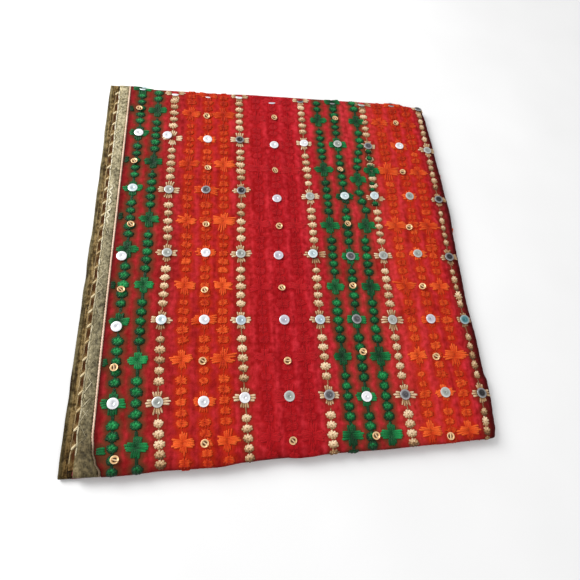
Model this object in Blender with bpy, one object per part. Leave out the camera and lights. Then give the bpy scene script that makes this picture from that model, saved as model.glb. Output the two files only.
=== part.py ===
"""A phulkari shawl, folded flat.

The cloth is folded lengthwise with both ends to the middle and then in half, which gives four
layers, and then in half across its width, which gives eight. The last fold runs down the right
side, and the eight hems with their gold tape lie at the left, the lower four standing out past
the upper four. Metres, +Z up, +X along the rows of embroidery to the right, +Y away from the
front fold. The origin is in the middle of the underside.
"""
import bmesh
import bpy
import numpy as np

MM = 0.001

# Driving sizes
LAYER = 1.5 * MM                # one pressed layer of cloth with its embroidery
HALF = 4 * LAYER                # four layers, on each side of the last fold
WALL = 1.1 * MM                 # the wall of cloth that shows
GAP = 0.3 * MM                  # between pieces that touch
FRONT_ROLL = HALF / 2           # radius of each of the two folds along the front
BACK_ROLL = HALF / 4            # radius of each of the four folds along the back
FOLD_PLAY = 0.4 * MM            # the two inner folds at the back are this much smaller
LEDGE_DROP = 0.2 * MM           # the lower layers' ledge lies this far below the middle
SIDE_ROLL = 9 * MM              # how far the soft fold down the right side stands out
TAPE_WIDTH = 13 * MM
TAPE_WALL = 1.1 * MM
PIPING_RADIUS = 0.95 * MM
PIPING_SUNK = 0.15 * MM         # the cord's centre below the face of the cloth
BRAID_WIDTH = 5.4 * MM
BRAID_CLEAR = 0.8 * MM          # from the upper hem
BRAID_WALL = 1.0 * MM
BRAID_RIDGE = 0.5 * MM          # how far its zigzag cord stands up
BRAID_STEP = 9.5 * MM           # half of one zigzag

# Colours, in linear red, green and blue
RED = (0.42, 0.02, 0.025)
DARK_RED = (0.3, 0.015, 0.02)
OLD_GOLD = (0.33, 0.27, 0.14)
CREAM = (0.66, 0.5, 0.38)
BROWN = (0.1, 0.045, 0.02)

# Where the front and back folds start to turn down, in mm: x, y
FRONT_EDGE = (
    (-238, -256.7), (-193, -256.7), (-138, -253.9), (-91, -253.5), (-54, -249.8), (-22, -246.6),
    (1, -248.4), (52, -244.7), (93, -244.3), (162, -241.5), (215, -238.7), (229, -237.4),
)
BACK_EDGE = (
    (-236, 257.2), (-208, 258.2), (-182, 254.0), (-81, 254.0), (-40, 255.9), (195, 255.9),
    (209, 253.1), (227, 250.5),
)
# Where the last fold starts to turn down, in mm: y, x
SIDE_EDGE = (
    (-240, 222.3), (-227, 225.6), (-192, 227.9), (-175, 228.4), (-163, 226.1), (-122, 226.6),
    (-71, 224.7), (-20, 226.1), (16, 227.0), (62, 229.1), (99, 227.5), (173, 226.1),
    (229, 224.3), (250, 221.5),
)
# The left edges of the red cloth and of the two rows of hems, in mm: y, x
CLOTH_EDGE = ((-256, -193.5), (-246, -197.2), (-236, -201.8), (-218, -205.5), (-120, -207.1), (255, -207.1))
UPPER_HEM = ((-256, -222.5), (0, -221.9), (255, -222.5))
LOWER_HEM = ((-256, -238.1), (-60, -236.8), (255, -235.4))

# The main creases of the upper face, in mm: x and y of each end, depth, width
CREASES = (
    (-119, 112, -116, -14, 1.4, 4.0),
    (-114, -30, -114, -60, 0.8, 4.0),
    (-60, -246, -66, -190, 0.7, 9.0),
    (60, 250, 52, 120, 0.6, 10.0),
    (150, -240, 142, -120, 0.6, 10.0),
)

# Where the grid has its lines: in parts of a side, and in angles round the folds
ACROSS = np.sort(np.append(np.linspace(0, 1, 20), (0.187, 0.198, 0.204, 0.209, 0.215, 0.226)))
UNDER = np.linspace(1, 0, 5)
ALONG = np.concatenate(((0, 0.02, 0.045, 0.075), np.linspace(0.12, 1, 19)))
TURN = np.radians(np.linspace(0, 180, 9))
CURL = np.radians((30, 62, 94, 125))
ROUND = np.radians((36, 72, 108, 144, 180))


def along(table, at):
    """Reads a table of places and values, in mm, turning smoothly at each of its rows."""
    places, values = np.array(table).T * MM
    row = np.clip(np.searchsorted(places, at) - 1, 0, len(places) - 2)
    part = np.clip((at - places[row]) / (places[row + 1] - places[row]), 0, 1)
    return values[row] + (values[row + 1] - values[row]) * part * part * (3 - 2 * part)


def upper_tape_edge(y):
    """The inner edge of the upper tape: the piping lies between it and the cloth."""
    return along(CLOTH_EDGE, y) - 2 * (PIPING_RADIUS + GAP)


def lower_tape_edge(y):
    """The inner edge of the lower tape."""
    return along(LOWER_HEM, y) + TAPE_WIDTH


def rise(x, y):
    """How far the creases lift (or, below zero, sink) the upper face at x, y."""
    height = np.zeros(np.broadcast(x, y).shape)
    for x_start, y_start, x_end, y_end, depth, width in np.array(CREASES) * MM:
        run = np.array((x_end - x_start, y_end - y_start))
        length = np.hypot(*run)
        part = ((x - x_start) * run[0] + (y - y_start) * run[1]) / length ** 2
        beside = ((x - x_start) * run[1] - (y - y_start) * run[0]) / length
        fade = np.sin(np.pi * np.clip(part, 0, 1)) ** 0.6
        height -= depth * fade * np.exp(-(beside / width) ** 2)
    return height


def wrap(u, turn, v, out, reach, lift, left_above, left_below):
    """Points on a layer that wraps the stack: over the top, round the last fold and below.

    u and turn give a point's place across, and v, out and reach its place along: out is how far
    a fold carries it past the front or back edge, and reach its distance from the stack's middle.
    """
    u, turn = u[None, :], turn[None, :]
    v, out, reach, lift = (values[:, None] for values in (v, out, reach, lift))
    nominal = along(CLOTH_EDGE, 0) * (1 - u) + along(SIDE_EDGE, 0) * u
    y = along(FRONT_EDGE, nominal) * (1 - v) + along(BACK_EDGE, nominal) * v
    above = (1 + np.cos(turn)) / 2
    left = left_above(y) * above + left_below(y) * (1 - above)
    x = left * (1 - u) + along(SIDE_EDGE, y) * u
    reach = reach + rise(x, y) * above * lift
    x = x + reach * SIDE_ROLL / HALF * np.sin(turn)
    z = HALF + reach * np.cos(turn)
    return np.stack(np.broadcast_arrays(x, y + out, z), axis=-1)


def lines_across():
    """u and turn of the grid's lines: the upper face, the last fold and the underside."""
    u = np.concatenate((ACROSS, np.ones(len(TURN) - 2), UNDER))
    turn = np.concatenate((np.zeros(len(ACROSS)), TURN[1:-1], np.full(len(UNDER), np.pi)))
    return u, turn


def curl(radius, depth, angles):
    """Out and reach of points on a fold, which start level with a layer at the given depth."""
    return (radius - depth) * np.sin(angles), HALF - radius + (radius - depth) * np.cos(angles)


def join(name, points, faces, colour, roughness, metallic=0.0):
    """Makes an object of points and faces, with its faces turned outwards."""
    mesh = bpy.data.meshes.new(name)
    mesh.from_pydata([tuple(point) for point in points], [], faces)
    work = bmesh.new()
    work.from_mesh(mesh)
    bmesh.ops.recalc_face_normals(work, faces=work.faces)
    work.to_mesh(mesh)
    work.free()
    mesh.shade_smooth()
    material = bpy.data.materials.new(name)
    material.use_nodes = True
    shader = material.node_tree.nodes["Principled BSDF"]
    shader.inputs["Base Color"].default_value = (*colour, 1)
    shader.inputs["Roughness"].default_value = roughness
    shader.inputs["Metallic"].default_value = metallic
    mesh.materials.append(material)
    piece = bpy.data.objects.new(name, mesh)
    bpy.context.scene.collection.objects.link(piece)
    return piece


def quads(place):
    """The four-sided faces of a grid of point numbers."""
    corners = (place[:-1, :-1], place[1:, :-1], place[1:, 1:], place[:-1, 1:])
    return np.stack(corners, axis=-1).reshape(-1, 4).tolist()


def tube_of_rings(rings):
    """Points and faces of a closed body through rings of points, capped at both ends."""
    count, around = rings.shape[:2]
    place = np.arange(count * around).reshape(count, around)
    faces = quads(np.concatenate((place, place[:, :1]), axis=1))
    return rings.reshape(-1, 3), faces + [place[0].tolist(), place[-1].tolist()]


def walled_sheet(outer, inner):
    """Points and faces of a wall between two grids, closed round its four edges."""
    rows, columns = outer.shape[:2]
    place = np.arange(rows * columns).reshape(rows, columns)
    below = place + rows * columns
    rim = np.concatenate((place[0, :-1], place[:-1, -1], place[-1, :0:-1], place[::-1, 0]))
    faces = quads(place) + quads(below) + quads(np.stack((rim, rim + rows * columns)))
    return np.concatenate((outer.reshape(-1, 3), inner.reshape(-1, 3))), faces


def outer_cloth():
    """The layer that shows: the upper face, the side fold, the underside and its rolled edges."""
    u, turn = lines_across()
    grids = []
    for depth in (0, WALL):
        front_out, front_reach = curl(FRONT_ROLL, depth, CURL[::-1])
        back_out, back_reach = curl(BACK_ROLL, depth, CURL)
        v = np.concatenate((np.zeros(len(CURL)), ALONG, np.ones(len(CURL))))
        out = np.concatenate((-front_out, np.zeros(len(ALONG)), back_out))
        reach = np.concatenate((front_reach, np.full(len(ALONG), HALF - depth), back_reach))
        lift = np.concatenate((np.zeros(len(CURL)), np.ones(len(ALONG)), np.zeros(len(CURL))))
        grids.append(wrap(u, turn, v, out, reach, lift, lambda y: along(CLOTH_EDGE, y),
                          lambda y: lower_tape_edge(y) + GAP))
    join("outer_cloth", *walled_sheet(*grids), RED, 0.8)


def inner_layers():
    """The hidden layers, as one solid with a groove between the folds along the front and back."""
    u, turn = lines_across()
    depth = WALL + GAP
    second_fold = BACK_ROLL - FOLD_PLAY
    front_out, front_reach = curl(FRONT_ROLL, depth, ROUND[::-1])
    back_angles = np.concatenate(((0,), ROUND))
    back_out = second_fold * np.sin(back_angles)
    back_reach = BACK_ROLL + second_fold * np.cos(back_angles)
    v = np.concatenate((np.zeros(len(ROUND)), ALONG, np.ones(len(back_angles))))
    out = np.concatenate((-front_out, np.zeros(len(ALONG)), back_out))
    reach = np.concatenate((front_reach, np.full(len(ALONG), HALF - depth), back_reach))
    lift = np.concatenate((np.zeros(len(ROUND)), np.ones(len(ALONG)), np.zeros(len(back_angles))))
    rings = wrap(u, turn, v, out, reach, lift, lambda y: upper_tape_edge(y) + GAP,
                 lambda y: lower_tape_edge(y) + GAP)
    flat = np.arange(len(ROUND), len(ROUND) + len(ALONG))
    ledge = rings[flat][:, (0, -1)].swapaxes(0, 1)
    ledge[:, :, 2] = HALF - LEDGE_DROP
    place = np.arange(rings.shape[0] * rings.shape[1]).reshape(rings.shape[:2])
    upper, lower = place.size + np.arange(2 * len(flat)).reshape(2, -1)
    faces = quads(place) + quads(np.stack((upper, lower)))
    for side, line in ((place[:, 0], upper), (place[:, -1], lower)):
        faces += quads(np.stack((side[flat[1:-1]], line[1:-1])))
        faces += [side[:flat[0] + 1].tolist(), side[flat[-1] + 1:].tolist()]
        faces.append([side[flat[1]], side[flat[0]], side[0], line[0], line[1]])
        faces.append([side[flat[-2]], side[flat[-1]], side[flat[-1] + 1], side[-1], line[-1], line[-2]])
    faces += [[*place[0], lower[0], upper[0]], [*place[-1], lower[-1], upper[-1]]]
    points = np.concatenate((rings.reshape(-1, 3), ledge.reshape(-1, 3)))
    join("inner_layers", points, faces, DARK_RED, 0.85)


def fold_line(centre_y, centre_z, radius, start, end):
    """Points (y, z) along a fold, from one angle to another, measured from +Y towards +Z."""
    angles = np.radians(np.linspace(start, end, 6))
    return np.stack((centre_y + radius * np.cos(angles), centre_z + radius * np.sin(angles)), axis=1)


def left_ends():
    """The y at which the front and back folds start, down the left side."""
    corner = along(CLOTH_EDGE, 0)
    return along(FRONT_EDGE, corner), along(BACK_EDGE, corner)


def hem_path(front, back):
    """The one line (y, z) that a hem follows through its four layers, from end to end."""
    level = [2 * HALF - (number - 0.5) * LAYER for number in (1, 2, 3, 4)]
    steps = front + (back - front) * ALONG[1:-1]
    run = [np.stack((steps, np.full(len(steps), height)), axis=1) for height in level]
    return np.concatenate((
        run[1],
        fold_line(back, (level[0] + level[1]) / 2, LAYER / 2, -90, 90),
        run[0][::-1],
        fold_line(front, (level[0] + level[3]) / 2, 1.5 * LAYER, 90, 270),
        run[3],
        fold_line(back, (level[2] + level[3]) / 2, LAYER / 2, -90, 90),
        run[2][::-1],
    ))


def hem_tape(name, inner_edge, outer_edge, mirrored):
    """A gold tape along a hem, folded to and fro with its cloth; the lower one is mirrored."""
    front, back = left_ends()
    path = hem_path(front, back)
    step = np.gradient(path, axis=0)
    step /= np.linalg.norm(step, axis=1, keepdims=True)
    beside = np.stack((-step[:, 1], step[:, 0]), axis=1) * TAPE_WALL / 2
    flat_y = np.clip(path[:, 0], front, back)
    rings = np.empty((len(path), 4, 3))
    for place, (edge, sign) in enumerate(((0, -1), (0, 1), (1, 1), (1, -1))):
        rings[:, place, 0] = along(outer_edge, flat_y) if edge else inner_edge(flat_y)
        rings[:, place, 1:] = path + sign * beside
    if mirrored:
        rings[:, :, 2] = 2 * HALF - rings[:, :, 2]
    join(name, *tube_of_rings(rings), OLD_GOLD, 0.42, 0.7)


def piping():
    """The cord sewn between the cloth and its tape, which turns down over the front fold."""
    front, back = left_ends()
    down = np.radians((50, 30, 10))
    run = front + (back - front) * ALONG
    y = np.concatenate((front - (FRONT_ROLL - PIPING_SUNK) * np.sin(down), run))
    drop = np.concatenate(((FRONT_ROLL - PIPING_SUNK) * (1 - np.cos(down)), np.zeros(len(run))))
    tilt = np.concatenate((-down, np.zeros(len(run))))
    x = along(CLOTH_EDGE, np.maximum(y, front)) - PIPING_RADIUS - GAP
    z = 2 * HALF - PIPING_SUNK - drop
    around = np.radians(np.arange(0, 360, 45))[None, :]
    rings = np.stack((
        x[:, None] + PIPING_RADIUS * np.cos(around),
        y[:, None] + PIPING_RADIUS * np.sin(around) * np.sin(tilt)[:, None],
        z[:, None] + PIPING_RADIUS * np.sin(around) * np.cos(tilt)[:, None],
    ), axis=-1)
    join("piping", *tube_of_rings(rings), CREAM, 0.7)


def zigzag_braid():
    """The narrow braid on the lower tape, with a cord that runs to and fro across it."""
    front, back = left_ends()
    y = np.arange(back - BRAID_STEP, front + BRAID_STEP / 2, -BRAID_STEP)
    right = along(UPPER_HEM, y) - BRAID_CLEAR
    left = right - BRAID_WIDTH
    crest = left + BRAID_WIDTH * np.where(np.arange(len(y)) % 2, 0.25, 0.75)
    bottom = HALF - LAYER / 2 + TAPE_WALL / 2 + GAP
    top = bottom + BRAID_WALL
    corners = ((left, bottom), (right, bottom), (right, top - BRAID_RIDGE), (crest, top),
               (left, top - BRAID_RIDGE))
    rings = np.stack([np.stack((x, y, np.full(len(y), z)), axis=1) for x, z in corners], axis=1)
    join("zigzag_braid", *tube_of_rings(rings), BROWN, 0.6, 0.3)


for old in list(bpy.data.objects):
    bpy.data.objects.remove(old, do_unlink=True)

outer_cloth()
inner_layers()
hem_tape("upper_hem_tape", upper_tape_edge, UPPER_HEM, mirrored=False)
hem_tape("lower_hem_tape", lower_tape_edge, LOWER_HEM, mirrored=True)
piping()
zigzag_braid()
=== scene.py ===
"""The looks of a phulkari shawl, folded flat: red cloth with columns of floss embroidery,
small mirrors and cup sequins, and gold tape, piping and a zigzag braid along its hems.

Metres, +Z up, +X along the rows of embroidery to the right, +Y away from the front fold.
"""

import bmesh
import bpy
import numpy as np
from mathutils import Matrix, Vector


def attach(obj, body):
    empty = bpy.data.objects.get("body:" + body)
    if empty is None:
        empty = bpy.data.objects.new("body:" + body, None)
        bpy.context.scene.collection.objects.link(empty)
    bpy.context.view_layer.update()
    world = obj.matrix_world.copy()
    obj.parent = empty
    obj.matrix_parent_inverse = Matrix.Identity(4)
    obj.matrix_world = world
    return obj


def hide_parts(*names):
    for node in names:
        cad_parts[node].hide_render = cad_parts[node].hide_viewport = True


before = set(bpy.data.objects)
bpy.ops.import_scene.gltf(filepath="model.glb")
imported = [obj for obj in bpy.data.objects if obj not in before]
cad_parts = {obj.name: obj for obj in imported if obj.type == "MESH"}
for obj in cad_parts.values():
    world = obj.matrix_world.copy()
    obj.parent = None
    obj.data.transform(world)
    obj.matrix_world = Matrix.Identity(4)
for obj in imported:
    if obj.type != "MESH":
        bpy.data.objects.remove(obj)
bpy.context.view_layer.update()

# The camera stands over the front left corner and looks down at the shawl, a little askew.
CAMERA_PLACE = (-0.0798, -0.2821, 0.5198)
CAMERA_VIEW = (0.14824, 0.39881, -0.90498)
CAMERA_UP = (-0.0036, 0.9153, 0.40276)
CAMERA_LENS = 28.56             # mm
CAMERA_NEAR = 0.01

lens = bpy.data.cameras.new("camera")
lens.lens = CAMERA_LENS
lens.clip_start = CAMERA_NEAR
camera = bpy.data.objects.new("camera", lens)
bpy.context.scene.collection.objects.link(camera)
backward = -Vector(CAMERA_VIEW).normalized()
rightward = Vector(CAMERA_UP).cross(backward).normalized()
camera.matrix_world = (Matrix.Translation(CAMERA_PLACE)
                       @ Matrix((rightward, backward.cross(rightward), backward)).transposed().to_4x4())
bpy.context.scene.camera = camera

# The cloth is one length of fine red crepe. It is folded lengthwise in four and then in half
# across, and what shows is the outermost layer: the upper face, the soft fold down the right
# side, the underside, and the rolled edges along the front and back.
MM = 0.001
LAYER = 1.5 * MM                # one pressed layer of cloth with its embroidery
HALF = 4 * LAYER                # four layers, on each side of the last fold
WALL = 1.1 * MM
GAP = 0.3 * MM
FRONT_ROLL = HALF / 2           # radius of each of the two folds along the front
BACK_ROLL = HALF / 4            # radius of each of the four folds along the back
SIDE_ROLL = 9 * MM              # how far the soft fold down the right side stands out
CLOTH_CURL = np.radians(125)    # how far the layer that shows follows a fold
TAPE_WIDTH = 13 * MM
PIPING_RADIUS = 1.1 * MM
PIPING_SUNK = 0.15 * MM
# Where the front and back folds start to turn down, in mm: x, y
FRONT_EDGE = (
    (-238, -256.7), (-193, -256.7), (-138, -253.9), (-91, -253.5), (-54, -249.8), (-22, -246.6),
    (1, -248.4), (52, -244.7), (93, -244.3), (162, -241.5), (215, -238.7), (229, -237.4),
)
BACK_EDGE = (
    (-236, 257.2), (-208, 258.2), (-182, 254.0), (-81, 254.0), (-40, 255.9), (195, 255.9),
    (209, 253.1), (227, 250.5),
)
# Where the last fold starts to turn down, in mm: y, x
SIDE_EDGE = (
    (-240, 222.3), (-227, 225.6), (-192, 227.9), (-175, 228.4), (-163, 226.1), (-122, 226.6),
    (-71, 224.7), (-20, 226.1), (16, 227.0), (62, 229.1), (99, 227.5), (173, 226.1),
    (229, 224.3), (250, 221.5),
)
# The left edges of the red cloth and of the two rows of hems, in mm: y, x
CLOTH_EDGE = ((-256, -196.0), (-246, -201.2), (-236, -204.2), (-218, -206.3), (-120, -207.1), (255, -207.1))
UPPER_HEM = ((-256, -222.5), (0, -221.9), (255, -222.5))
LOWER_HEM = ((-256, -238.1), (-60, -236.8), (110, -236.2), (255, -237.3))
# The main creases of the upper face, in mm: x and y of each end, depth, width
CREASES = (
    (-119, 112, -116, -14, 1.4, 4.0),
    (-114, -30, -114, -60, 0.8, 4.0),
    (-60, -246, -66, -190, 0.7, 9.0),
    (60, 250, 52, 120, 0.6, 10.0),
    (150, -240, 142, -120, 0.6, 10.0),
)
# The columns and rows of the embroidery
COLUMN = 46 * MM
ROW = 89.6 * MM
FIRST_COLUMN = -191.7 * MM
FIRST_ROW = 260.1 * MM
FLORET_STEP = 0.1275            # from floret to floret, in rows
# How the stitching draws the cloth up between its columns
PUCKER = 0.85 * MM
GATHER = 0.32 * MM
SWELL = 0.7 * MM
CRUMPLE = 0.28 * MM
PUCKER_WANDER = 0.5             # radians that the lines of the puckers and of the gathers wander
GATHER_WANDER = 3.0
EDGE_FADE = 9 * MM              # the relief dies away this close to the front and back folds

# What tints the cloth near the floss of each colour, and what paints shade on it by the piping and
# over the side and front folds: how much, and its colour. By the green and cream floss it is painted
# shade with a brownish tint; by the orange, an orange tint; by the red, a darker red.
CLOTH_TINTS_AND_SHADE = (
    ("by_orange", 0.55, (184, 44, 6)),
    ("by_green", 0.84, (76, 54, 30)),
    ("by_cream", 0.5, (104, 44, 24)),
    ("by_red", 0.42, (140, 8, 14)),
    ("in_seam", 0.94, (60, 6, 4)),
)
# The lines of points of the cloth: across its top, from front to back, across its underside,
# round its rolled edges and round its side fold
CLOTH_TOP_LINES = 178
CLOTH_LONG_LINES = 188
CLOTH_BELOW_LINES = 12
CLOTH_CURL_LINES = 9
SIDE_LINES = 17
LUMP_GRID = (67, 61)            # of random values, before they repeat

turns = np.linspace(0, np.pi, 181)
turn_steps = np.hypot(SIDE_ROLL * np.cos((turns[1:] + turns[:-1]) / 2),
                      HALF * np.sin((turns[1:] + turns[:-1]) / 2)) * np.diff(turns)
turn_lengths = np.concatenate(((0,), np.cumsum(turn_steps)))
SIDE_LENGTH = turn_lengths[-1]  # of cloth round the side fold


def eased(part):
    """A smooth step from 0 to 1, level at both ends: three squares less two cubes."""
    return part * part * (3 - 2 * part)


def along(table, at):
    """Reads a table of places and values, in mm, turning smoothly at each of its rows."""
    places, values = np.array(table).T * MM
    row = np.clip(np.searchsorted(places, at) - 1, 0, len(places) - 2)
    part = np.clip((at - places[row]) / (places[row + 1] - places[row]), 0, 1)
    return values[row] + (values[row + 1] - values[row]) * eased(part)


def lumps(x, y, size, seed):
    """Smooth noise from -1 to 1: random values on a grid of that size, blended between its lines."""
    values = np.random.default_rng(seed).uniform(-1, 1, LUMP_GRID)
    x, y = x / size[0], y / size[1]
    column, row = np.floor(x).astype(int), np.floor(y).astype(int)
    east, north = eased(x - column), eased(y - row)

    def line(number):
        """The values of one line of the grid, blended from column to column."""
        number = number % LUMP_GRID[1]
        here, beyond = values[column % LUMP_GRID[0], number], values[(column + 1) % LUMP_GRID[0], number]
        return here * (1 - east) + beyond * east

    return line(row) * (1 - north) + line(row + 1) * north


def relief(x, y):
    """How far the upper face rises at x, y: creases, puckers, gathers, a crumple and slow swells.

    A pucker is a squared sine of the place across, with its feet on the lines of stitching, and
    a gather a cosine of the place along, strongest on those lines.
    """
    height = np.zeros(np.broadcast(x, y).shape)
    for x_start, y_start, x_end, y_end, depth, width in np.array(CREASES) * MM:
        run = np.array((x_end - x_start, y_end - y_start))
        length = np.hypot(*run)
        part = ((x - x_start) * run[0] + (y - y_start) * run[1]) / length ** 2
        beside = ((x - x_start) * run[1] - (y - y_start) * run[0]) / length
        fade = np.sin(np.pi * np.clip(part, 0, 1)) ** 0.6
        height -= depth * fade * np.exp(-(beside / width) ** 2)
    wander = PUCKER_WANDER * lumps(x, y, (0.04, 0.05), 3)
    between = np.sin(2 * np.pi * (x - FIRST_COLUMN) / COLUMN + wander) ** 2
    height += PUCKER * between * (1 + 0.7 * lumps(x, y, (0.023, 0.045), 1))
    wave = np.cos(2 * np.pi * y / (FLORET_STEP * ROW) + GATHER_WANDER * lumps(x, y, (0.03, 0.05), 2))
    height += GATHER * wave * (1 - 0.8 * between)
    coarse, fine = lumps(x + 0.4 * y, y, (0.009, 0.013), 5), lumps(x, y - 0.3 * x, (0.0055, 0.007), 6)
    return height + CRUMPLE * (coarse + 0.5 * fine) + SWELL * lumps(x, y, (0.07, 0.11), 4)


def lower_tape_edge(y):
    """The inner edge of the lower tape."""
    return along(LOWER_HEM, y) + TAPE_WIDTH


def lay(x, y, height):
    """Points at a height over the cloth, at x, y of the flat pattern, which runs on round the folds.

    Past the side edge x is a length round a half ellipse, and then back along the underside.
    Past the front and back edges y is a length round an arc of that fold's radius.
    """
    x, y, height = np.broadcast_arrays(x, y, height)
    nominal, flat_y = x, y
    for _ in range(2):
        flat_y = np.clip(y, along(FRONT_EDGE, nominal), along(BACK_EDGE, nominal))
        side = along(SIDE_EDGE, flat_y)
        past = np.clip(x - side, 0, SIDE_LENGTH)
        turn = np.interp(past, turn_lengths, turns)
        above = (1 + np.cos(turn)) / 2
        level_x = np.where(x > side + SIDE_LENGTH, 2 * side + SIDE_LENGTH - x, np.minimum(x, side))
        left = along(CLOTH_EDGE, flat_y) * above + (lower_tape_edge(flat_y) + GAP) * (1 - above)
        u = (level_x - left) / (side - left)
        nominal = along(CLOTH_EDGE, 0) * (1 - u) + along(SIDE_EDGE, 0) * u
    front, back = along(FRONT_EDGE, nominal), along(BACK_EDGE, nominal)
    roll = np.where(y < front, FRONT_ROLL, BACK_ROLL)
    angle = (np.maximum(front - y, 0) + np.maximum(y - back, 0)) / roll
    fade = np.clip(np.minimum(flat_y - front, back - flat_y) / EDGE_FADE, 0, 1)
    reach = HALF - roll + (roll + height) * np.cos(angle)
    reach = reach + relief(level_x, flat_y) * above ** 3 * eased(fade)
    out = (roll + height) * np.sin(angle) * np.where(y < front, -1, 1)
    return np.stack((level_x + reach * SIDE_ROLL / HALF * np.sin(turn), flat_y + out,
                     HALF + reach * np.cos(turn)), axis=-1)


def quads(place):
    """The four-sided faces of a grid of point numbers."""
    corners = (place[:-1, :-1], place[1:, :-1], place[1:, 1:], place[:-1, 1:])
    return np.stack(corners, axis=-1).reshape(-1, 4)


def walled_sheet(outer, inner):
    """Points and faces of a wall between two grids, closed round its four edges."""
    rows, columns = outer.shape[:2]
    place = np.arange(rows * columns).reshape(rows, columns)
    below = place + rows * columns
    rim = np.concatenate((place[0, :-1], place[:-1, -1], place[-1, :0:-1], place[::-1, 0]))
    faces = [quads(place), quads(below)[:, ::-1], quads(np.stack((rim, rim + rows * columns)))[:, ::-1]]
    return np.concatenate((outer.reshape(-1, 3), inner.reshape(-1, 3))), faces


def tube_of_rings(rings):
    """Points and faces of a closed body through rings of points, capped at both ends."""
    count, around = rings.shape[:2]
    place = np.arange(count * around).reshape(count, around)
    faces = [quads(np.concatenate((place, place[:, :1]), axis=1)), place[:1], place[-1:, ::-1]]
    return rings.reshape(-1, 3), faces


def sewn(name, points, faces, material, uv=None, **values):
    """Makes a piece of points and faces, turned outwards, with its UV map and its named values."""
    corners = np.concatenate([part.ravel() for part in faces])
    sizes = np.concatenate([np.full(len(part), part.shape[1]) for part in faces])
    starts = np.cumsum(sizes) - sizes
    first = points[corners[starts]]
    volume = np.sum(first * np.cross(points[corners[starts + 1]], points[corners[starts + 2]]))
    if sizes.max() == 4:
        volume += np.sum((first * np.cross(points[corners[starts + 2]], points[corners[starts + sizes - 1]]))
                         [sizes == 4])
    if volume < 0:
        corners = np.concatenate([part[:, ::-1].ravel() for part in faces])
    mesh = bpy.data.meshes.new(name)
    mesh.vertices.add(len(points))
    mesh.vertices.foreach_set("co", points.ravel())
    mesh.loops.add(len(corners))
    mesh.loops.foreach_set("vertex_index", corners)
    mesh.polygons.add(len(sizes))
    mesh.polygons.foreach_set("loop_start", starts)
    mesh.update(calc_edges=True)
    mesh.shade_smooth()
    if uv is not None:
        mesh.uv_layers.new(name="UVMap").data.foreach_set("uv", uv[corners].ravel())
    for key, value in values.items():
        mesh.attributes.new(key, "FLOAT", "POINT").data.foreach_set("value", value)
    mesh.materials.append(material)
    piece = bpy.data.objects.new(name, mesh)
    bpy.context.scene.collection.objects.link(piece)
    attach(piece, "root")
    return piece


def put(tree, kind, inputs=(), **settings):
    """Adds a node with its settings; an input is a value, or the socket that feeds it."""
    node = tree.nodes.new("ShaderNode" + kind)
    for key, value in settings.items():
        setattr(node, key, value)
    for key, value in dict(inputs).items():
        if isinstance(value, bpy.types.NodeSocket):
            tree.links.new(value, node.inputs[key])
        else:
            node.inputs[key].default_value = value
    return node


def maths(tree, operation, *values):
    """Adds a Math node and gives its result."""
    return put(tree, "Math", dict(enumerate(values)), operation=operation).outputs[0]


def blend(tree, factor, low, high, blend_type="MIX"):
    """Adds a colour Mix node and gives its result."""
    colours = {"Factor": factor, 6: low, 7: high}
    return put(tree, "Mix", colours, data_type="RGBA", blend_type=blend_type).outputs[2]


def weighted(tree, *parts):
    """The sum of some sockets, each times its own amount."""
    total = 0.0
    for socket, amount in reversed(parts):
        total = maths(tree, "MULTIPLY_ADD", socket, amount, total)
    return total


def product(tree, first, second):
    """The product of two sockets, or of a socket and a number."""
    return maths(tree, "MULTIPLY", first, second)


def remap(tree, value, low, high, to_low=0.0, to_high=1.0):
    """Maps a value from one range to another, and holds it at the ends."""
    return put(tree, "MapRange", {0: value, 1: low, 2: high, 3: to_low, 4: to_high}).outputs[0]


def place_on(tree):
    """The place on the piece, in its object's coordinates."""
    return put(tree, "TexCoord").outputs["Object"]


def axes_of(tree, place):
    """The three parts of a place."""
    return put(tree, "SeparateXYZ", {0: place}).outputs


def noise(tree, place, scale, detail=2, roughness=0.5):
    """Noise at a place, from 0 to 1."""
    return put(tree, "TexNoise", {"Vector": place, "Scale": scale, "Detail": detail,
                                  "Roughness": roughness}).outputs[0]


def drawn_out(tree, place, share):
    """A place whose Y counts for only that share, so that a pattern there runs along the shawl."""
    return put(tree, "Mapping", {"Vector": place, "Scale": (1, share, 1)}).outputs[0]


def value_of(tree, name):
    """The piece's own value of that name."""
    return put(tree, "Attribute", attribute_name=name).outputs["Fac"]


def dye(red, green, blue):
    """A colour given as 0 to 255 on a screen, in linear light."""
    part = np.array((red, green, blue)) / 255
    linear = np.where(part <= 0.04045, part / 12.92, ((part + 0.055) / 1.055) ** 2.4)
    return (*linear.tolist(), 1.0)


def ramp(tree, factor, *stops):
    """Adds a colour ramp through stops of place and colour."""
    node = put(tree, "ValToRGB", {"Fac": factor})
    elements = node.color_ramp.elements
    while len(elements) < len(stops):
        elements.new(0.5)
    for element, (place, colour) in zip(elements, stops):
        element.position = place
        element.color = colour
    return node.outputs[0]


def finish_of(material, colour, bump_height, bump_depth, roughness, **constants):
    """Ends a material: its colour, bump, roughness and constants go into its one shader."""
    tree = material.node_tree
    shader = tree.nodes["Principled BSDF"]
    tree.links.new(colour, shader.inputs["Base Color"])
    bump = put(tree, "Bump", {"Height": bump_height, "Distance": bump_depth, "Strength": 1.0})
    tree.links.new(bump.outputs[0], shader.inputs["Normal"])
    for key, value in {"Roughness": roughness, **constants}.items():
        shader.inputs[key.replace("_", " ")].default_value = value
    return material


def new_material(name):
    """A new material, and its nodes."""
    material = bpy.data.materials.new(name)
    material.use_nodes = True
    return material, material.node_tree


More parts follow.
